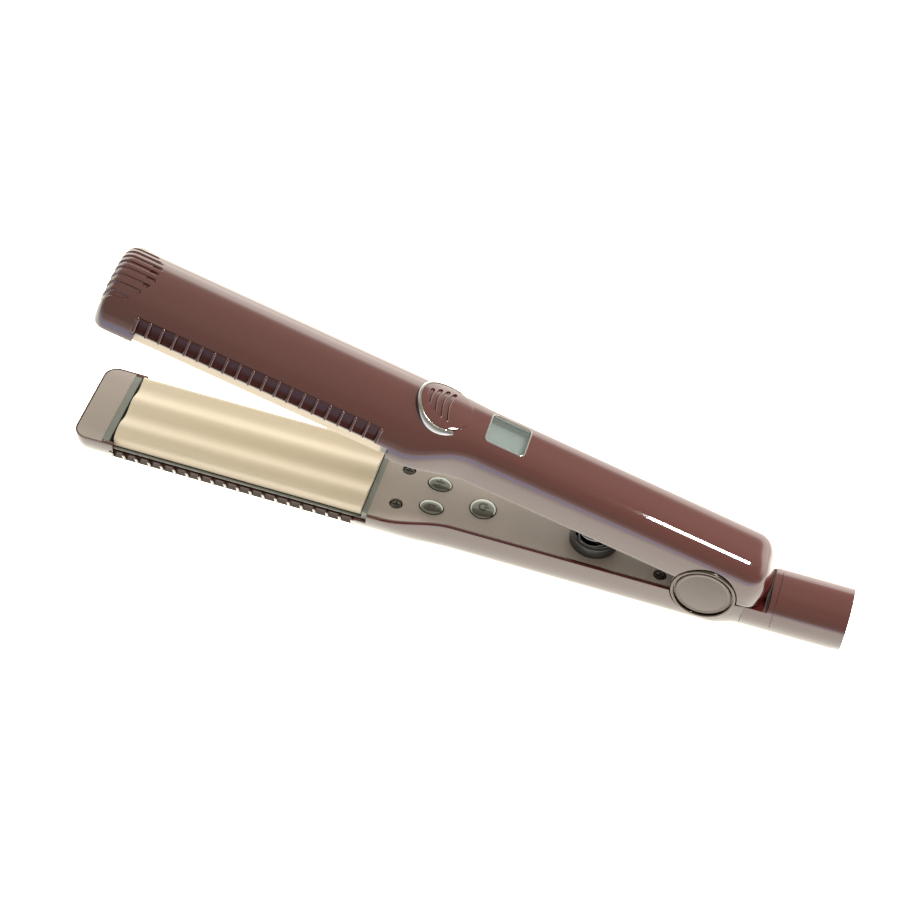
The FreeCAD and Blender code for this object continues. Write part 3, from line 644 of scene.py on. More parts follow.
def finger_grooves(grid):
    """How deep the nose's finger grooves are at each point of the upper arm's outside."""
    reach, across, depth = grid[..., 0], grid[..., 1], grid[..., 2]
    from_tip = np.hypot(np.minimum(NOSE_REACH - reach, 1.0), across)
    inside = 1 - stepped(from_tip, PAD_RADIUS - 0.35 * MM, PAD_RADIUS)
    on_top = stepped(depth, 5.6 * MM, 6.4 * MM)
    wave = 0.5 + 0.5 * np.cos(2 * math.pi * across / PAD_PITCH)
    return PAD_GROOVE * stepped(wave, 0.45, 0.9) * inside * on_top


def shell_thickness(reach):
    return NOSE_RIM if reach >= NOSE_COVER_END - 0.01 * MM else HANDLE_RIM


def kept_faces(outer, frame_row, comb_row):
    """The grid's faces outside the notches for the plate's frame and the combs."""
    columns = outer.shape[1] - 1
    tiny = 0.01 * MM
    for index in range(outer.shape[0] - 1):
        middle = (outer[index, 0, 0] + outer[index + 1, 0, 0]) / 2
        in_comb = COMB_BACK - tiny < middle < COMB_FRONT + tiny
        in_frame = FRAME_BACK - tiny < middle < NOTCH_FRONT + tiny
        for row in range(columns):
            from_rim = min(row, columns - 1 - row)
            beside_frame = in_frame and from_rim < frame_row
            beside_comb = in_comb and frame_row <= from_rim < comb_row
            if not (beside_frame or beside_comb):
                yield index, row


def thick_shell(arm, crown_rows):
    """An arm's shell as one closed mesh, with its notches and its rim."""
    rows, frame_row, comb_row = row_shares(crown_rows)
    stations = station_list(arm)
    outer = skin(stations, rows, lambda reach: 0.0)
    inner = skin(stations, rows, shell_thickness)
    if arm is UPPER:
        outer -= grid_normals(outer) * finger_grooves(outer)[..., None]
    else:
        outer[..., 2] = np.minimum(outer[..., 2], FACE)
    count = outer.shape[1]
    total = outer.shape[0] * count
    quads = []
    for index, row in kept_faces(outer, frame_row, comb_row):
        corner = index * count + row
        quads.append((corner, corner + 1, corner + count + 1, corner + count))
    faces = list(quads) + [tuple(total + c for c in reversed(quad)) for quad in quads]
    faces += [(a, b, total + b, total + a) for a, b in open_edges(quads)]
    points = [arm.at(*p) for grid in (outer, inner) for p in grid.reshape(-1, 3)]
    used = sorted({corner for face in faces for corner in face})
    fresh = {old: new for new, old in enumerate(used)}
    faces = [tuple(fresh[corner] for corner in face) for face in faces]
    return made("shell", [points[old] for old in used], faces)


def open_edges(quads):
    """The edges that only one face has, against that face's direction."""
    edges = dict.fromkeys(edge for quad in quads for edge in zip(quad, quad[1:] + quad[:1]))
    return [(b, a) for (a, b) in edges if (b, a) not in edges]


def pocket_cutters():
    """The round pockets that the hinge caps sit in, one on each side."""
    profile = [(0, POCKET_FLOOR), (POCKET_RADIUS, POCKET_FLOOR), (POCKET_RADIUS, OUTSIDE), (0, OUTSIDE)]
    return [lathe("pocket", profile, hinge_place(side), 128) for side in (-1, 1)]


def hinge_place(side):
    """The hinge's axis as a place for a lathe, towards one side."""
    return Matrix.Translation(HINGE) @ Matrix.Rotation(-side * math.pi / 2, 4, "X")


def shells():
    for arm in ARMS:
        obj = bevelled(thick_shell(arm, 160 if arm is UPPER else 60), 0.24 * MM, 2, 50)
        cutters = pocket_cutters()
        if arm is UPPER:
            margin = 0.25 * MM
            sides = (DISPLAY_HALF - margin, DISPLAY_HALF_WIDTH - margin)
            outline = rounded_box(DISPLAY_MIDDLE, 0, *sides, DISPLAY_CORNER)
            cutters.append(arm_prism("opening", UPPER, outline, 8 * MM, OUTSIDE))
        deliver(arm.put(smooth(carved(obj, *cutters), 42, False)), arm.name + "_shell")


# ---- covers ----


def mirrored(near):
    """A closed outline, from its near half."""
    return near + [(reach, -across) for reach, across in reversed(near)]


def rim_outline(arm, inset, start, end):
    """The plan outline of a cover between two distances from the hinge."""
    count = max(2, round((start - end) / (1.2 * MM)))
    places = [start + (end - start) * index / count for index in range(count + 1)]
    return mirrored([(reach, inset - section(arm, reach)[0]) for reach in places])


def nose_outline(inset):
    radius = NOSE_ROUND - inset
    centre = NOSE_REACH - NOSE_ROUND
    side = NOSE_HALF_WIDTH - inset
    near = [(NOSE_COVER_END, -side)]
    for quarter in range(13):
        turn = math.pi / 2 * quarter / 12
        near.append((centre + radius * math.sin(turn), -(side - radius + radius * math.cos(turn))))
    return mirrored(near)


def dome_outline(arm, inset, start):
    """The upper rear cover's outline, round the arm's domed end."""
    points = [(start, -(section(arm, start)[0] - inset))]
    for step in range(18):
        reach, half_width = dome_station(arm, math.pi / 2 * step / 18, inset)[:2]
        points.append((reach, -half_width))
    end = (dome_station(arm, math.pi / 2, inset)[0], 0.0)
    return points + [end] + [(reach, -across) for reach, across in reversed(points)]


SCREWS = in_mm([(118.2, 9.2), (118.2, -9.2), (16.9, 7.9), (16.9, -7.9)])
HEAD_RADIUS = 2.3 * MM
BUTTON_X = HINGE.x - (low("button_minus").x + high("button_minus").x) / 2
BUTTON_Y = high("button_plus").y - 4.2 * MM
POWER_X = HINGE.x - (low("power_button").x + high("power_button").x) / 2
BUTTON_LONG = 4.5 * MM
BUTTON_SHORT = 3.4 * MM
POWER_RADIUS = 4.9 * MM
SYMBOL_HALF = 1.6 * MM
CUP_X = HINGE.x - (low("spring_cup").x + high("spring_cup").x) / 2
CUP_RADIUS = (high("spring_cup").x - low("spring_cup").x) / 2
SEAT_FLANGE = 6.9 * MM
KNUCKLE_REACH = from_hinge(high("lower_inner_cover").x)


def cover_holes(arm):
    holes = [disc(reach, across, HEAD_RADIUS + PLAY) for reach, across in SCREWS]
    if arm is LOWER:
        long, short = BUTTON_LONG + PLAY, BUTTON_SHORT + PLAY
        holes += [oval(BUTTON_X, BUTTON_Y * side, long, short) for side in (-1, 1)]
        holes.append(disc(POWER_X, 0, POWER_RADIUS + PLAY))
    holes.append(disc(CUP_X, 0, CUP_RADIUS if arm is LOWER else SEAT_FLANGE, 96))
    return [arm_prism("hole", arm, outline, -5 * MM, 5 * MM) for outline in holes]


def covers():
    for arm in ARMS:
        nose = arm_prism("nose", arm, nose_outline(NOSE_RIM), 0, COVER_THICKNESS)
        deliver(arm.put(smooth(bevelled(nose, 0.45 * MM, 4))), arm.name + "_nose_cover")
        outline = rim_outline(arm, HANDLE_RIM, FRAME_BACK, KNUCKLE_REACH)
        inner = arm_prism("inner", arm, outline, 0, COVER_THICKNESS)
        inner = carved(inner, *cover_holes(arm), *pocket_cutters())
        deliver(arm.put(smooth(bevelled(inner, 0.18 * MM, 2))), arm.name + "_inner_cover")
        if arm is UPPER:
            outline = dome_outline(arm, HANDLE_RIM, -KNUCKLE_REACH)
        else:
            outline = rim_outline(arm, HANDLE_RIM, -KNUCKLE_REACH, HINGE.x - COLLAR_START)
        rear = arm_prism("rear", arm, outline, 0, COVER_THICKNESS)
        rear = carved(rear, *pocket_cutters())
        deliver(arm.put(smooth(bevelled(rear, 0.18 * MM, 2))), arm.name + "_rear_cover")


def cross_screw(arm, reach, across):
    """One countersunk screw: a domed head with a cross cut into it."""
    profile = [(0, 0), (HEAD_RADIUS / MM * 0.75, -0.04), (HEAD_RADIUS / MM, -0.3)]
    profile += [(HEAD_RADIUS / MM, -0.8), (1.2, -0.8), (1.2, -8.6), (0, -8.6)]
    tilt = Matrix.Scale(-arm.outwards, 4, (0, 0, 1))
    place = Matrix.Translation(arm.at(reach, across, 0.4 * MM)) @ tilt
    screw = bevelled(lathe("screw", in_mm(profile), place, 48), 0.12 * MM, 2)
    cutters = []
    for half_long, half_wide in in_mm([(1.45, 0.28), (0.28, 1.45)]):
        outline = rounded_box(reach, across, half_long, half_wide, 0.1 * MM, 2)
        cutters.append(arm_prism("cross", arm, outline, 0, 1.0 * MM))
    return carved(screw, *cutters)


def cover_screws():
    for arm in ARMS:
        screws = [cross_screw(arm, reach, across) for reach, across in SCREWS]
        whole = joined("screws", *screws)
        deliver(arm.put(smooth(outward(whole))), arm.name + "_cover_screws")


# ---- combs ----

COMB_TOP_Y = 19.2 * MM
COMB_FOOT_Y = 16.2 * MM
RIB_PITCH = 5.0 * MM
RIB_COUNT = 20
RIB_HALF = 0.55 * MM
RIB_STAND = 0.45 * MM
RIB_ROOT = 1.4 * MM


def side_point(side, share, stand):
    """A point of the comb's outer side: share 0 is its edge at the plate, 1 its foot."""
    depth = RIM_DEPTH + (COMB_DEPTH - RIM_DEPTH) * share
    chord = COMB_TOP_Y + (COMB_FOOT_Y - COMB_TOP_Y) * share
    return side * (chord + stand), depth


def comb_strip(arm, side):
    """The hollowed strip behind the ribs: a lip at the plate's edge, flush at its foot."""
    hollow = ((0.0, 0.8), (0.06, 0.8), (0.10, 1.15), (0.3, 1.15), (0.55, 0.85), (0.8, 0.4), (1.0, 0.04))
    profile = [side_point(side, share, -sunk * MM) for share, sunk in hollow]
    profile += [side_point(side, share, -2.3 * MM) for share in (1.0, 0.0)]
    return bevelled(arm_bar("strip", arm, profile, COMB_FRONT, COMB_BACK), 0.12 * MM, 2)


def rib(arm, side, middle, half):
    """A thin rounded rib that crosses the strip and swells where it meets the shell."""
    loops = []
    rows, steps = 15, 16
    for row in range(rows):
        share = row / (rows - 1)
        ends = math.sqrt(max(0.0, 1 - (2 * share - 1) ** 8))
        swell = 1.0 + 0.35 * stepped(share, 0.78, 0.9) * (1 - 0.6 * stepped(share, 0.93, 1.0))
        loop = []
        for step in range(steps):
            turn = turn_at(step, steps)
            width = half * swell * math.cos(turn) * ends
            rise = math.sin(turn)
            out = (RIB_STAND * swell if rise > 0 else RIB_ROOT) * rise * ends
            loop.append(arm.at(middle + width, *side_point(side, 1.02 * share - 0.02, out)))
        loops.append(loop)
    return woven("rib", loops)


def combs():
    for arm in ARMS:
        for side, word in ((-1, "near"), (1, "far")):
            ribs = []
            for index in range(RIB_COUNT):
                middle = COMB_FRONT - RIB_HALF - RIB_PITCH * index
                half = RIB_HALF * (1.35 if index in (0, RIB_COUNT - 1) else 1.0)
                ribs.append(rib(arm, side, middle, half))
            node = "%s_comb_%s" % (arm.name, word)
            deliver(arm.put(smooth(comb_strip(arm, side), 50, False)), node)
            row = arm.put(smooth(outward(joined("ribs", *ribs)), 50, False))
            extra(row, node + "_ribs", node, materials["burgundy_gloss"])


# ---- heating plates ----

PLATE_HEIGHT = 2.1 * MM
PLATE_ROOT = 1.5 * MM
SKIRT_DEPTH = 3.0 * MM
WAVE_HEIGHT = 0.9 * MM
WAVE_LENGTH = 14.3 * MM
WAVE_CREST = 3.2 * MM
EDGE_ROUND = 1.6 * MM
FRAME_DEPTH = 3.5 * MM
FRONT_GAP = 1.4 * MM
BACK_GAP = 0.4 * MM


def plate(arm):
    """A waved plate with rounded long edges and softened ends."""
    swing = WAVE_HEIGHT if arm is LOWER else -WAVE_HEIGHT
    profile = []
    steps = 120
    for step in range(steps + 1):
        spread = -math.cos(math.pi * step / steps)
        across = PLATE_HALF_WIDTH * (0.35 * spread + 0.65 * (2 * step / steps - 1))
        wave = swing * math.cos(2 * math.pi * (across - WAVE_CREST) / WAVE_LENGTH)
        edge = max(0.0, abs(across) - PLATE_HALF_WIDTH + EDGE_ROUND)
        drop = EDGE_ROUND - math.sqrt(max(0.0, EDGE_ROUND**2 - edge * edge))
        profile.append((across, drop - PLATE_HEIGHT - wave))
    skirt = PLATE_HALF_WIDTH - 1.2 * MM
    for side in (1, -1):
        foot = [(PLATE_HALF_WIDTH, SKIRT_DEPTH), (skirt, SKIRT_DEPTH), (skirt, PLATE_ROOT)]
        profile += [(across * side, depth) for across, depth in foot[::side]]
    return bevelled(arm_bar("plate", arm, profile, PLATE_FRONT, PLATE_BACK), 0.3 * MM, 3)


def plate_frame(arm):
    """The heat-proof frame round a plate: a bar at each end and a low rail down each side."""
    middle = (NOSE_COVER_END + FRAME_BACK) / 2
    half = (NOSE_COVER_END - FRAME_BACK) / 2
    outer = rounded_box(middle, 0, half, FRAME_HALF_WIDTH, 0.4 * MM, 3)
    ring = arm_prism("frame", arm, outer, 0, FRAME_DEPTH)
    front = PLATE_FRONT + FRONT_GAP
    back = PLATE_BACK - BACK_GAP
    middle, half = (front + back) / 2, (front - back) / 2
    inner = rounded_box(middle, 0, half, PLATE_HALF_WIDTH + PLAY, 0.3 * MM, 3)
    over_rails = rounded_box(middle, 0, half, 25 * MM, 0.3 * MM, 3)
    hole = arm_prism("hole", arm, inner, -2 * MM, 9 * MM)
    ring = carved(ring, hole, arm_prism("lowered", arm, over_rails, -2 * MM, SKIRT_DEPTH))
    return bevelled(ring, 0.15 * MM, 2)


def plates():
    for arm in ARMS:
        deliver(arm.put(smooth(plate(arm), 40)), arm.name + "_plate")
        deliver(arm.put(smooth(plate_frame(arm))), arm.name + "_plate_frame")


# ---- buttons ----


def button_profile(radius, height):
    """A shallow dome over a straight skirt, a flange and a stem."""
    turns = [math.pi / 2 * step / 14 for step in range(15)]
    dome = [(radius * math.sin(turn), height * math.cos(turn) ** 0.9) for turn in turns]
    flange = radius / MM + 0.8
    skirt = [(radius / MM, -2.6), (flange, -2.6), (flange, -3.2), (1.4, -3.2), (1.4, -3.8), (0, -3.8)]
    return dome + in_mm(skirt)


class Dome:
    """A button's domed top, and the raised marks that follow it."""

    def __init__(self, reach, across, long, short, top):
        self.centre = Vector((HINGE.x - reach, across, FACE))
        self.long = long
        self.short = short
        self.height = top - FACE

    def button(self, steps):
        widths = (self.long / self.short, 1.0)
        profile = button_profile(self.short, self.height)
        body = lathe("button", profile, Matrix.Translation(self.centre), steps, widths)
        return smooth(bevelled(body, 0.1 * MM, 2, 60), 40)

    def over(self, x, y, lift):
        """A point over the dome, at an offset from its middle."""
        share = min(1.0, math.hypot(x / self.long, y / self.short))
        height = self.height * math.sqrt(max(0.0, 1 - share * share)) ** 0.9
        return self.centre + Vector((x, y, height + lift))

    def mark(self, near, far):
        """A raised mark between two rows of (x, y) points."""
        loops = []
        for a, b in zip(near, far):
            sunk = [self.over(*place, -0.3 * MM) for place in (a, b)]
            loops.append(sunk + [self.over(*place, 0.10 * MM) for place in (b, a)])
        return woven("mark", loops)

    def bar(self, middle, half_long, half_wide):
        places = [middle + half_long * (index / 6 - 1) for index in range(13)]
        return self.mark([(x, -half_wide) for x in places], [(x, half_wide) for x in places])


def temperature_buttons():
    for side, word in ((-1, "minus"), (1, "plus")):
        node = "button_" + word
        dome = Dome(BUTTON_X, BUTTON_Y * side, BUTTON_LONG, BUTTON_SHORT, high(node).z)
        deliver(dome.button(64), node)
        mark = dome.bar(0.0, SYMBOL_HALF, 0.30 * MM)
        if word == "plus":
            mark = joined("mark", mark, dome.bar(0.0, 0.30 * MM, SYMBOL_HALF))
        extra(smooth(mark), word + "_symbol", node, symbol_finish)


def power_button():
    dome = Dome(POWER_X, 0, POWER_RADIUS, POWER_RADIUS, high("power_button").z)
    deliver(dome.button(72), "power_button")
    turns = [math.radians(40 + 280 * step / 26) for step in range(27)]
    inner, outer = ([(radius * math.cos(turn), radius * math.sin(turn)) for turn in turns]
                    for radius in (1.3 * MM, 1.9 * MM))
    mark = joined("mark", dome.mark(inner, outer), dome.bar(1.3 * MM, 0.9 * MM, 0.28 * MM))
    extra(smooth(mark), "power_symbol", "power_button", symbol_finish)


# ---- readout ----


def back_depth(reach, across, rise=0.0):
    """Depth of the upper arm's back, raised by an amount, under a point of its plan."""
    half_width, depth, squareness = section(UPPER, reach)
    share = min(1.0, abs(across) / (half_width + rise))
    return (depth + rise) * (1 - share**squareness) ** (1 / squareness)


def on_back(reach, across, lift):
    """A point over the upper arm's back, lifted along the back's own direction."""
    step = 0.05 * MM
    slope = (back_depth(reach, across + step) - back_depth(reach, across - step)) / (2 * step)
    lift /= math.hypot(1, slope)
    return UPPER.at(reach, across - slope * lift, back_depth(reach, across) + lift)


def subdivided(outline, longest):
    """The outline with extra points on its long straight runs."""
    points = []
    for (x0, y0), (x1, y1) in zip(outline, outline[1:] + outline[:1]):
        count = max(1, math.ceil(math.hypot(x1 - x0, y1 - y0) / longest))
        points += [(x0 + (x1 - x0) * i / count, y0 + (y1 - y0) * i / count) for i in range(count)]
    return points


def bezel():
    """The thin frame of the readout, standing a little out of the back."""
    base = rounded_box(DISPLAY_MIDDLE, 0, DISPLAY_HALF, DISPLAY_HALF_WIDTH, DISPLAY_CORNER)
    base = subdivided(base, 1.0 * MM)
    ring = in_mm([(0, -1.6), (0, 0), (0.08, 0.16), (0.22, 0.22), (0.4, 0.18), (0.5, 0.02), (0.55, -1.6)])
    loops = []
    for offset, lift in ring:
        loop = []
        for reach, across in base:
            along = (reach - DISPLAY_MIDDLE) * (1 - offset / DISPLAY_HALF)
            loop.append(on_back(DISPLAY_MIDDLE + along, across * (1 - offset / DISPLAY_HALF_WIDTH), lift))
        loops.append(loop)
    return woven("bezel", loops, closed=True)


def window_pane():
    """The curved pane, whose edges are hidden under the bezel."""
    half, sides = DISPLAY_HALF - 0.5 * MM, DISPLAY_HALF_WIDTH - 0.5 * MM
    shares = [index / 12 - 1 for index in range(25)]
    loops = []
    for share in shares:
        reach = DISPLAY_MIDDLE + share * half
        top = [on_back(reach, across * sides, -0.1 * MM) for across in shares]
        loops.append(top + [on_back(reach, across * sides, -1.2 * MM) for across in reversed(shares)])
    return woven("pane", loops)


def readout():
    deliver(UPPER.put(smooth(bezel(), 50, False)), "display_bezel")
    deliver(UPPER.put(smooth(window_pane(), 50, False)), "display_window")
    sides = (DISPLAY_HALF - PLAY, DISPLAY_HALF_WIDTH - PLAY)
    outline = rounded_box(DISPLAY_MIDDLE, 0, *sides, 0.3 * MM, 3)
    panel = arm_prism("panel", UPPER, outline, 10.5 * MM, 12.5 * MM)
    deliver(UPPER.put(smooth(bevelled(panel, 0.1 * MM, 2))), "display_panel")


# ---- thumb rest ----

THUMB_CENTRE = 114.0 * MM
THUMB_RADIUS = 11.7 * MM
THUMB_TRIM = 1.3 * MM
THUMB_BACK = 103.0 * MM
THUMB_RISE = 2.7 * MM
SLOT_REACHES = (121.2, 118.8, 116.3, 113.8)
SLOT_LENGTHS = (3.0, 4.8, 5.8, 6.2)
SLOT_HALF_WIDTH = 0.62
SLOT_BEND = 16.0


def thumb_rise(reach):
    front = THUMB_CENTRE + THUMB_RADIUS + 2 * MM
    return THUMB_RISE * min(1.0, max(0.0, (reach - THUMB_BACK) / (front - THUMB_BACK)))


def slot_depth(reach, across):
    """How deep the thumb rest's four bowed slots are at a point of its plan."""
    deepest, highest = 0.0, 0.0
    for place, half_length in zip(SLOT_REACHES, SLOT_LENGTHS):
        bow = math.sqrt(SLOT_BEND**2 - min(across / MM, SLOT_BEND) ** 2) - SLOT_BEND
        past = max(0.0, abs(across / MM) - half_length)
        away = math.hypot(reach / MM - place - bow, past)
        share = 1 - float(stepped(away, SLOT_HALF_WIDTH - 0.10, SLOT_HALF_WIDTH + 0.10))
        lip = 1 - float(stepped(abs(away - SLOT_HALF_WIDTH - 0.2), 0.05, 0.2))
        deepest = max(deepest, share)
        highest = max(highest, lip)
    return (deepest * 0.6 - highest * (1 - deepest) * 0.16) * MM


def thumb_rest():
    rings, steps = 100, 400
    radius = THUMB_RADIUS - THUMB_TRIM
    loops = []
    for ring in range(rings + 1):
        share = ring / rings
        edge = 0.35 * MM * (1 - math.sqrt(max(0.0, 1 - max(0.0, share * 12 - 11) ** 2)))
        loop = []
        for reach, across in disc(THUMB_CENTRE, 0, radius * share, steps):
            rise = thumb_rise(reach)
            top = back_depth(reach, across, rise) - slot_depth(reach, across) - edge * rise / THUMB_RISE
            loop.append(UPPER.at(reach, across, top))
        loops.append(loop)
    foot = disc(THUMB_CENTRE, 0, radius, steps)
    loops.append([UPPER.at(reach, across, back_depth(reach, across) - 0.8 * MM) for reach, across in foot])
    return woven("thumb", loops)


def thumb_trim():
    """The bright crescent round the thumb rest's raised front."""
    ends_at = 6 * MM
    steps = 72
    widest = math.acos(-ends_at / THUMB_RADIUS)
    crowns = [(0.0, 0.30), (0.25, 0.82), (0.6, 1.0), (1.0, 1.0)]
    loops = []
    for step in range(steps + 1):
        turn = widest * (2 * step / steps - 1)
        taper = min(1.0, (1 - abs(turn) / widest) * 9)
        places = []
        for share, crown in [(0.0, None)] + crowns + [(1.0, None)]:
            radius = THUMB_RADIUS - THUMB_TRIM * share
            reach = max(THUMB_CENTRE - ends_at, THUMB_CENTRE + radius * math.cos(turn))
            across = radius * math.sin(turn)
            lift = -0.6 * MM
            if crown is not None:
                raised = back_depth(reach, across, thumb_rise(reach)) - back_depth(reach, across)
                lift = (raised + 0.12 * MM) * crown * (0.4 + 0.6 * taper)
            places.append(UPPER.at(reach, across, back_depth(reach, across) + lift))
        loops.append(places)
    return woven("trim", loops)


def thumb_pieces():
    deliver(UPPER.put(smooth(thumb_rest(), 50, False)), "thumb_rest")
    deliver(UPPER.put(smooth(bevelled(thumb_trim(), 0.1 * MM, 2, 55), 60)), "thumb_trim")


# ---- hinge caps, spring and cup ----


def hinge_side(side, word):
    """A cap with its ring and its plain domed badge."""
    place = hinge_place(side)
    rim, face, badge = CAP_RADIUS / MM, CAP_FACE / MM, 10.4
    cap = [(3.4, 10.6), (5.5, 10.6), (5.5, 11.4), (rim, 11.4), (rim, face - 1.4)]
    cap += [(badge, face - 1.4), (badge, face - 1.6), (3.4, face - 1.6)]
    body = lathe("cap", in_mm(cap), place, 128)
    deliver(smooth(bevelled(body, 0.1 * MM, 2)), "hinge_cap_" + word)
    ring = [(11.0, -1.4), (rim, -1.4), (rim, -0.45), (11.95, -0.12), (11.6, 0.0), (11.25, -0.1), (11.0, -0.4)]
    band = lathe("ring", in_mm([(radius, face + drop) for radius, drop in ring]), place, 128)
    deliver(smooth(band, 60), "cap_ring_" + word, finish=ring_finish)
    drops = [(0, 1.6), (badge, 1.6), (badge, 0.75), (10.15, 0.5), (9.8, 0.42), (9.45, 0.55), (9.15, 0.62)]
    drops += [(8.9 * step / 11, 0.6 * (step / 11) ** 2) for step in range(11, -1, -1)]
    dome = lathe("badge", in_mm([(radius, face - drop) for radius, drop in drops]), place, 128)
    deliver(smooth(dome, 50, False), "cap_badge_" + word)


def cup_and_seat():
    radius, top = CUP_RADIUS / MM, (high("spring_cup").z - FACE) / MM
    cup = [(0, -12), (radius, -12), (radius, top), (radius - 1.8, top), (radius - 1.8, -10.8), (0, -10.8)]
    body = lathe("cup", in_mm(cup), Matrix.Translation(LOWER.at(CUP_X, 0, 0)))
    deliver(smooth(bevelled(body, 0.55 * MM, 4)), "spring_cup")
    flange = SEAT_FLANGE / MM
    seat = [(0, -6.5), (3.2, -6.5), (3.2, -0.6), (flange, -0.6), (flange, 2.2), (0, 2.2)]
    plug = lathe("seat", in_mm(seat), Matrix.Translation(UPPER.at(CUP_X, 0, 0)), 72)
    deliver(UPPER.put(smooth(bevelled(plug, 0.25 * MM, 3))), "spring_seat")


def opening_spring():
    """The coil, with its turns closer together towards both ends."""
    foot, top = low("opening_spring").z, high("opening_spring").z
    wire = 0.55 * MM
    radius = (high("opening_spring").y - low("opening_spring").y) / 2 - wire
    turns, steps, sides = 7, 40, 12
    first, last = (float(stepped(end, -0.12, 1.12)) for end in (0, 1))
    axis = Vector((HINGE.x - CUP_X, 0, foot + wire))
    loops = []
    for row in range(turns * steps + 1):
        turn = turn_at(row, steps)
        climbed = (float(stepped(row / (turns * steps), -0.12, 1.12)) - first) / (last - first)
        out = Vector((math.cos(turn), math.sin(turn), 0))
        up = Vector((0, 0, 1))
        centre = axis + out * radius + up * climbed * (top - foot - 2 * wire)
        angles = [turn_at(side, sides) for side in range(sides)]
        loops.append([centre + (out * math.cos(angle) + up * math.sin(angle)) * wire for angle in angles])
    coil = deliver(smooth(woven("coil", loops), 50, False), "opening_spring")
    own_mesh(coil)


# ---- tail ----

TAIL = Matrix.Translation((0, 0, TAIL_AXIS)) @ Matrix.Rotation(math.pi / 2, 4, "Y")
SLEEVE_BORE = TAIL_RADIUS - 2 * MM
SPIGOT_RADIUS = 9.0 * MM
SADDLE_RADIUS = 24.4 * MM


def collar():
    """The fixed collar, with the saddle that the upper arm's domed end turns in."""
    end, spigot_end = HINGE.x + 26.5 * MM, HINGE.x + 33.5 * MM
    profile = [(0, COLLAR_START), (TAIL_RADIUS, COLLAR_START), (TAIL_RADIUS, end), (SPIGOT_RADIUS, end)]
    profile += [(SPIGOT_RADIUS, spigot_end), (0, spigot_end)]
    drum_profile = [(0, -OUTSIDE), (SADDLE_RADIUS, -OUTSIDE), (SADDLE_RADIUS, OUTSIDE), (0, OUTSIDE)]
    drum = lathe("drum", drum_profile, hinge_place(-1), 256)
    behind = HINGE.x + 2 * OUTSIDE
    outline = [(HINGE.x, -OUTSIDE), (behind, -OUTSIDE), (behind, OUTSIDE), (HINGE.x, OUTSIDE)]
    above = prism("above", outline, FACE - 0.6 * MM, FACE + 2 * OUTSIDE)
    saddle = carved(above, drum, operation="INTERSECT")
    body = carved(lathe("collar", profile, TAIL, 160), saddle)
    deliver(smooth(bevelled(body, 0.1 * MM, 2), 35), "tail_collar")


def sleeve():
    start, end = low("swivel_sleeve").x, TAIL_END
    neck, neck_end = SPIGOT_RADIUS + 0.05 * MM, start + 5 * MM
    profile = [(neck, start), (TAIL_RADIUS, start), (TAIL_RADIUS, end), (SLEEVE_BORE, end)]
    profile += [(SLEEVE_BORE, neck_end), (neck, neck_end)]
    body = lathe("sleeve", profile, TAIL, 160)
    deliver(smooth(bevelled(body, 0.14 * MM, 3), 35), "swivel_sleeve")


def inlet():
    end, floor, back = (TAIL_END - inwards * MM for inwards in (0.5, 14.8, 16.0))
    socket = 7.0 * MM
    profile = [(0, back), (SLEEVE_BORE, back), (SLEEVE_BORE, end), (socket, end), (socket, floor), (0, floor)]
    body = lathe("socket", profile, TAIL)
    deliver(smooth(bevelled(body, 0.4 * MM, 3)), "inlet_socket")


# ---- what the CAD keeps ----


def dress_cad_nodes():
    """The part's own solids, which the new pieces leave shown, in their slots' materials."""
    for node, obj in frame["nodes"].items():
        obj.data.materials.clear()
        obj.data.materials.append(materials[SLOT_OF[node]])


# ---- the studio ----

CAMERA_PLACE = Vector((0.0806, -0.6015, 0.6710))
CAMERA_AZIMUTH = math.radians(8.22)
CAMERA_BACK = Vector((0.0993, -0.6872, 0.7197))
CAMERA_ROLL = math.radians(9.59)
CAMERA_LENS = 94.38

FLOOR_HALF = 6.0
FLOOR_SPAN = 0.6
FLOOR_GLOW = [
    (0.0, (0.5, 0.3, 0.2)),
    (0.1, (0.8, 0.5, 0.4)),
    (0.30, (1.0, 1.3, 2.3)),
    (0.36, (1.0, 1.4, 2.6)),
    (0.39, (1.9, 1.75, 1.7)),
    (0.425, (3.4, 3.25, 2.8)),
    (0.55, (3.4, 3.25, 2.8)),
    (0.65, (1.4, 1.3, 1.15)),
    (1.0, (1.4, 1.3, 1.15)),
]
BEHIND = [
    (0.0, (4.0, 3.9, 3.6)),
    (0.40, (4.0, 3.9, 3.6)),
    (0.50, (1.9, 1.85, 1.65)),
    (0.58, (1.35, 1.3, 1.12)),
    (1.0, (1.25, 1.2, 1.02)),
]
BEFORE = [
    (0.0, (1.75, 1.6, 1.5)),
    (0.10, (1.2, 1.15, 1.0)),
    (0.20, (0.98, 0.95, 0.78)),
    (0.80, (0.98, 0.95, 0.78)),
    (1.0, (1.25, 1.2, 1.02)),
]


def add_camera():
    data = bpy.data.cameras.new("camera")
    data.lens = CAMERA_LENS
    data.sensor_width = 36.0
    data.clip_start, data.clip_end = 0.01, 100.0
    camera = bpy.data.objects.new("camera", data)
    bpy.context.scene.collection.objects.link(camera)
    back = CAMERA_BACK.normalized()
    level = Vector((math.cos(CAMERA_AZIMUTH), math.sin(CAMERA_AZIMUTH), 0))
    level = (level - back * level.dot(back)).normalized()
    lift = back.cross(level)
    right = level * math.cos(CAMERA_ROLL) + lift * math.sin(CAMERA_ROLL)
    turned = Matrix((right, back.cross(right), back)).transposed().to_4x4()
    camera.matrix_world = Matrix.Translation(CAMERA_PLACE) @ turned
    bpy.context.scene.camera = camera


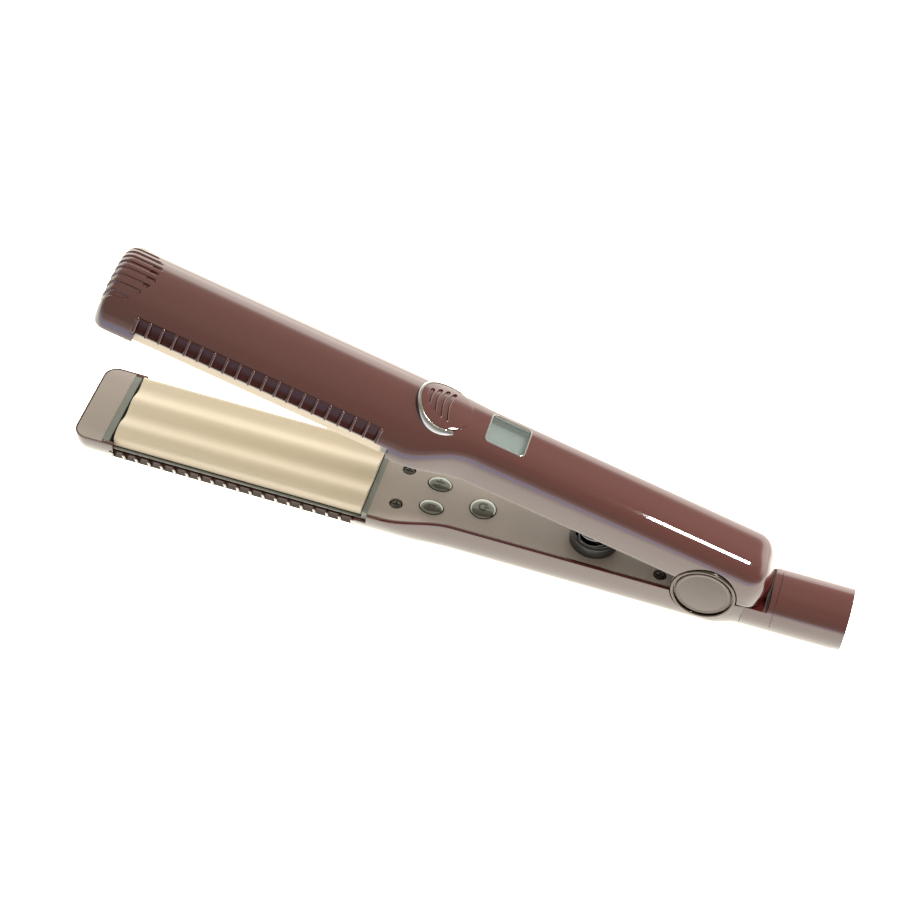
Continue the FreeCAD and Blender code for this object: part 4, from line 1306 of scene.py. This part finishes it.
def add_floor():
    """A plain pale floor, lit from below like a light table, brightest under the object."""
    finish = Finish("floor")
    away = finish.add("ShaderNodeSeparateXYZ", Vector=finish.place).outputs["Y"]
    reach = finish.stretched(away, -FLOOR_SPAN, FLOOR_SPAN).outputs["Result"]
    finish.set(Base_Color=finish.blend(finish.noise(2.0), (0.80, 0.80, 0.80), (0.82, 0.82, 0.82)))
    finish.set(Roughness=0.9, Specular_IOR_Level=0.0, Emission_Strength=1.0)
    finish.set(Emission_Color=finish.ramp(reach, FLOOR_GLOW))
    corners = [(-1, -1), (1, -1), (1, 1), (-1, 1)]
    floor = made("floor", [(x * FLOOR_HALF, y * FLOOR_HALF, 0) for x, y in corners], [(0, 1, 2, 3)])
    floor.data.materials.append(finish.material)
    floor.location.z = cad_box[0].z - 0.02 * MM
    floor.visible_diffuse = False


def add_softbox(name, direction, distance, sizes, strength, colour=(1, 1, 1)):
    """A rectangular soft light, aimed at the middle of the object."""
    centre = (cad_box[0] + cad_box[1]) / 2
    data = bpy.data.lights.new(name, "AREA")
    data.shape = "RECTANGLE"
    data.size, data.size_y = sizes
    data.energy = strength
    data.color = colour
    light = bpy.data.objects.new(name, data)
    bpy.context.scene.collection.objects.link(light)
    away = Vector(direction).normalized()
    turned = away.to_track_quat("Z", "Y").to_matrix().to_4x4()
    light.matrix_world = Matrix.Translation(centre + away * distance) @ turned
    return light


def add_world():
    """A white room: bright low down, dimmer above, and dark on the side in front."""
    world = bpy.data.worlds.new("studio")
    world.use_nodes = True
    nodes = Nodes(world.node_tree)
    coords = nodes.add("ShaderNodeTexCoord").outputs["Generated"]
    parts = nodes.add("ShaderNodeSeparateXYZ", Vector=coords).outputs
    turn = nodes.stretched(parts["Y"], -0.35, 0.35)
    turn.interpolation_type = "SMOOTHSTEP"
    before, behind = nodes.ramp(parts["Z"], BEFORE), nodes.ramp(parts["Z"], BEHIND)
    room = nodes.mixed(turn.outputs["Result"], before, behind)
    nodes.fill(world.node_tree.nodes["Background"], Color=room, Strength=1.0)
    bpy.context.scene.world = world


def studio():
    add_camera()
    add_world()
    add_floor()
    key = add_softbox("key", (0.35, 0.2, 0.9), 0.45, (0.3, 0.3), 1.6, (1.0, 0.985, 0.96))
    key.visible_glossy = False
    add_softbox("lamp", (0.47, 0.0, 0.883), 1.025, (0.20, 0.10), 9.0)
    bpy.context.scene.view_settings.view_transform = "Standard"


dress_cad_nodes()
shells()
covers()
cover_screws()
combs()
plates()
temperature_buttons()
power_button()
readout()
thumb_pieces()
hinge_side(-1, "near")
hinge_side(1, "far")
cup_and_seat()
opening_spring()
collar()
sleeve()
inlet()
studio()
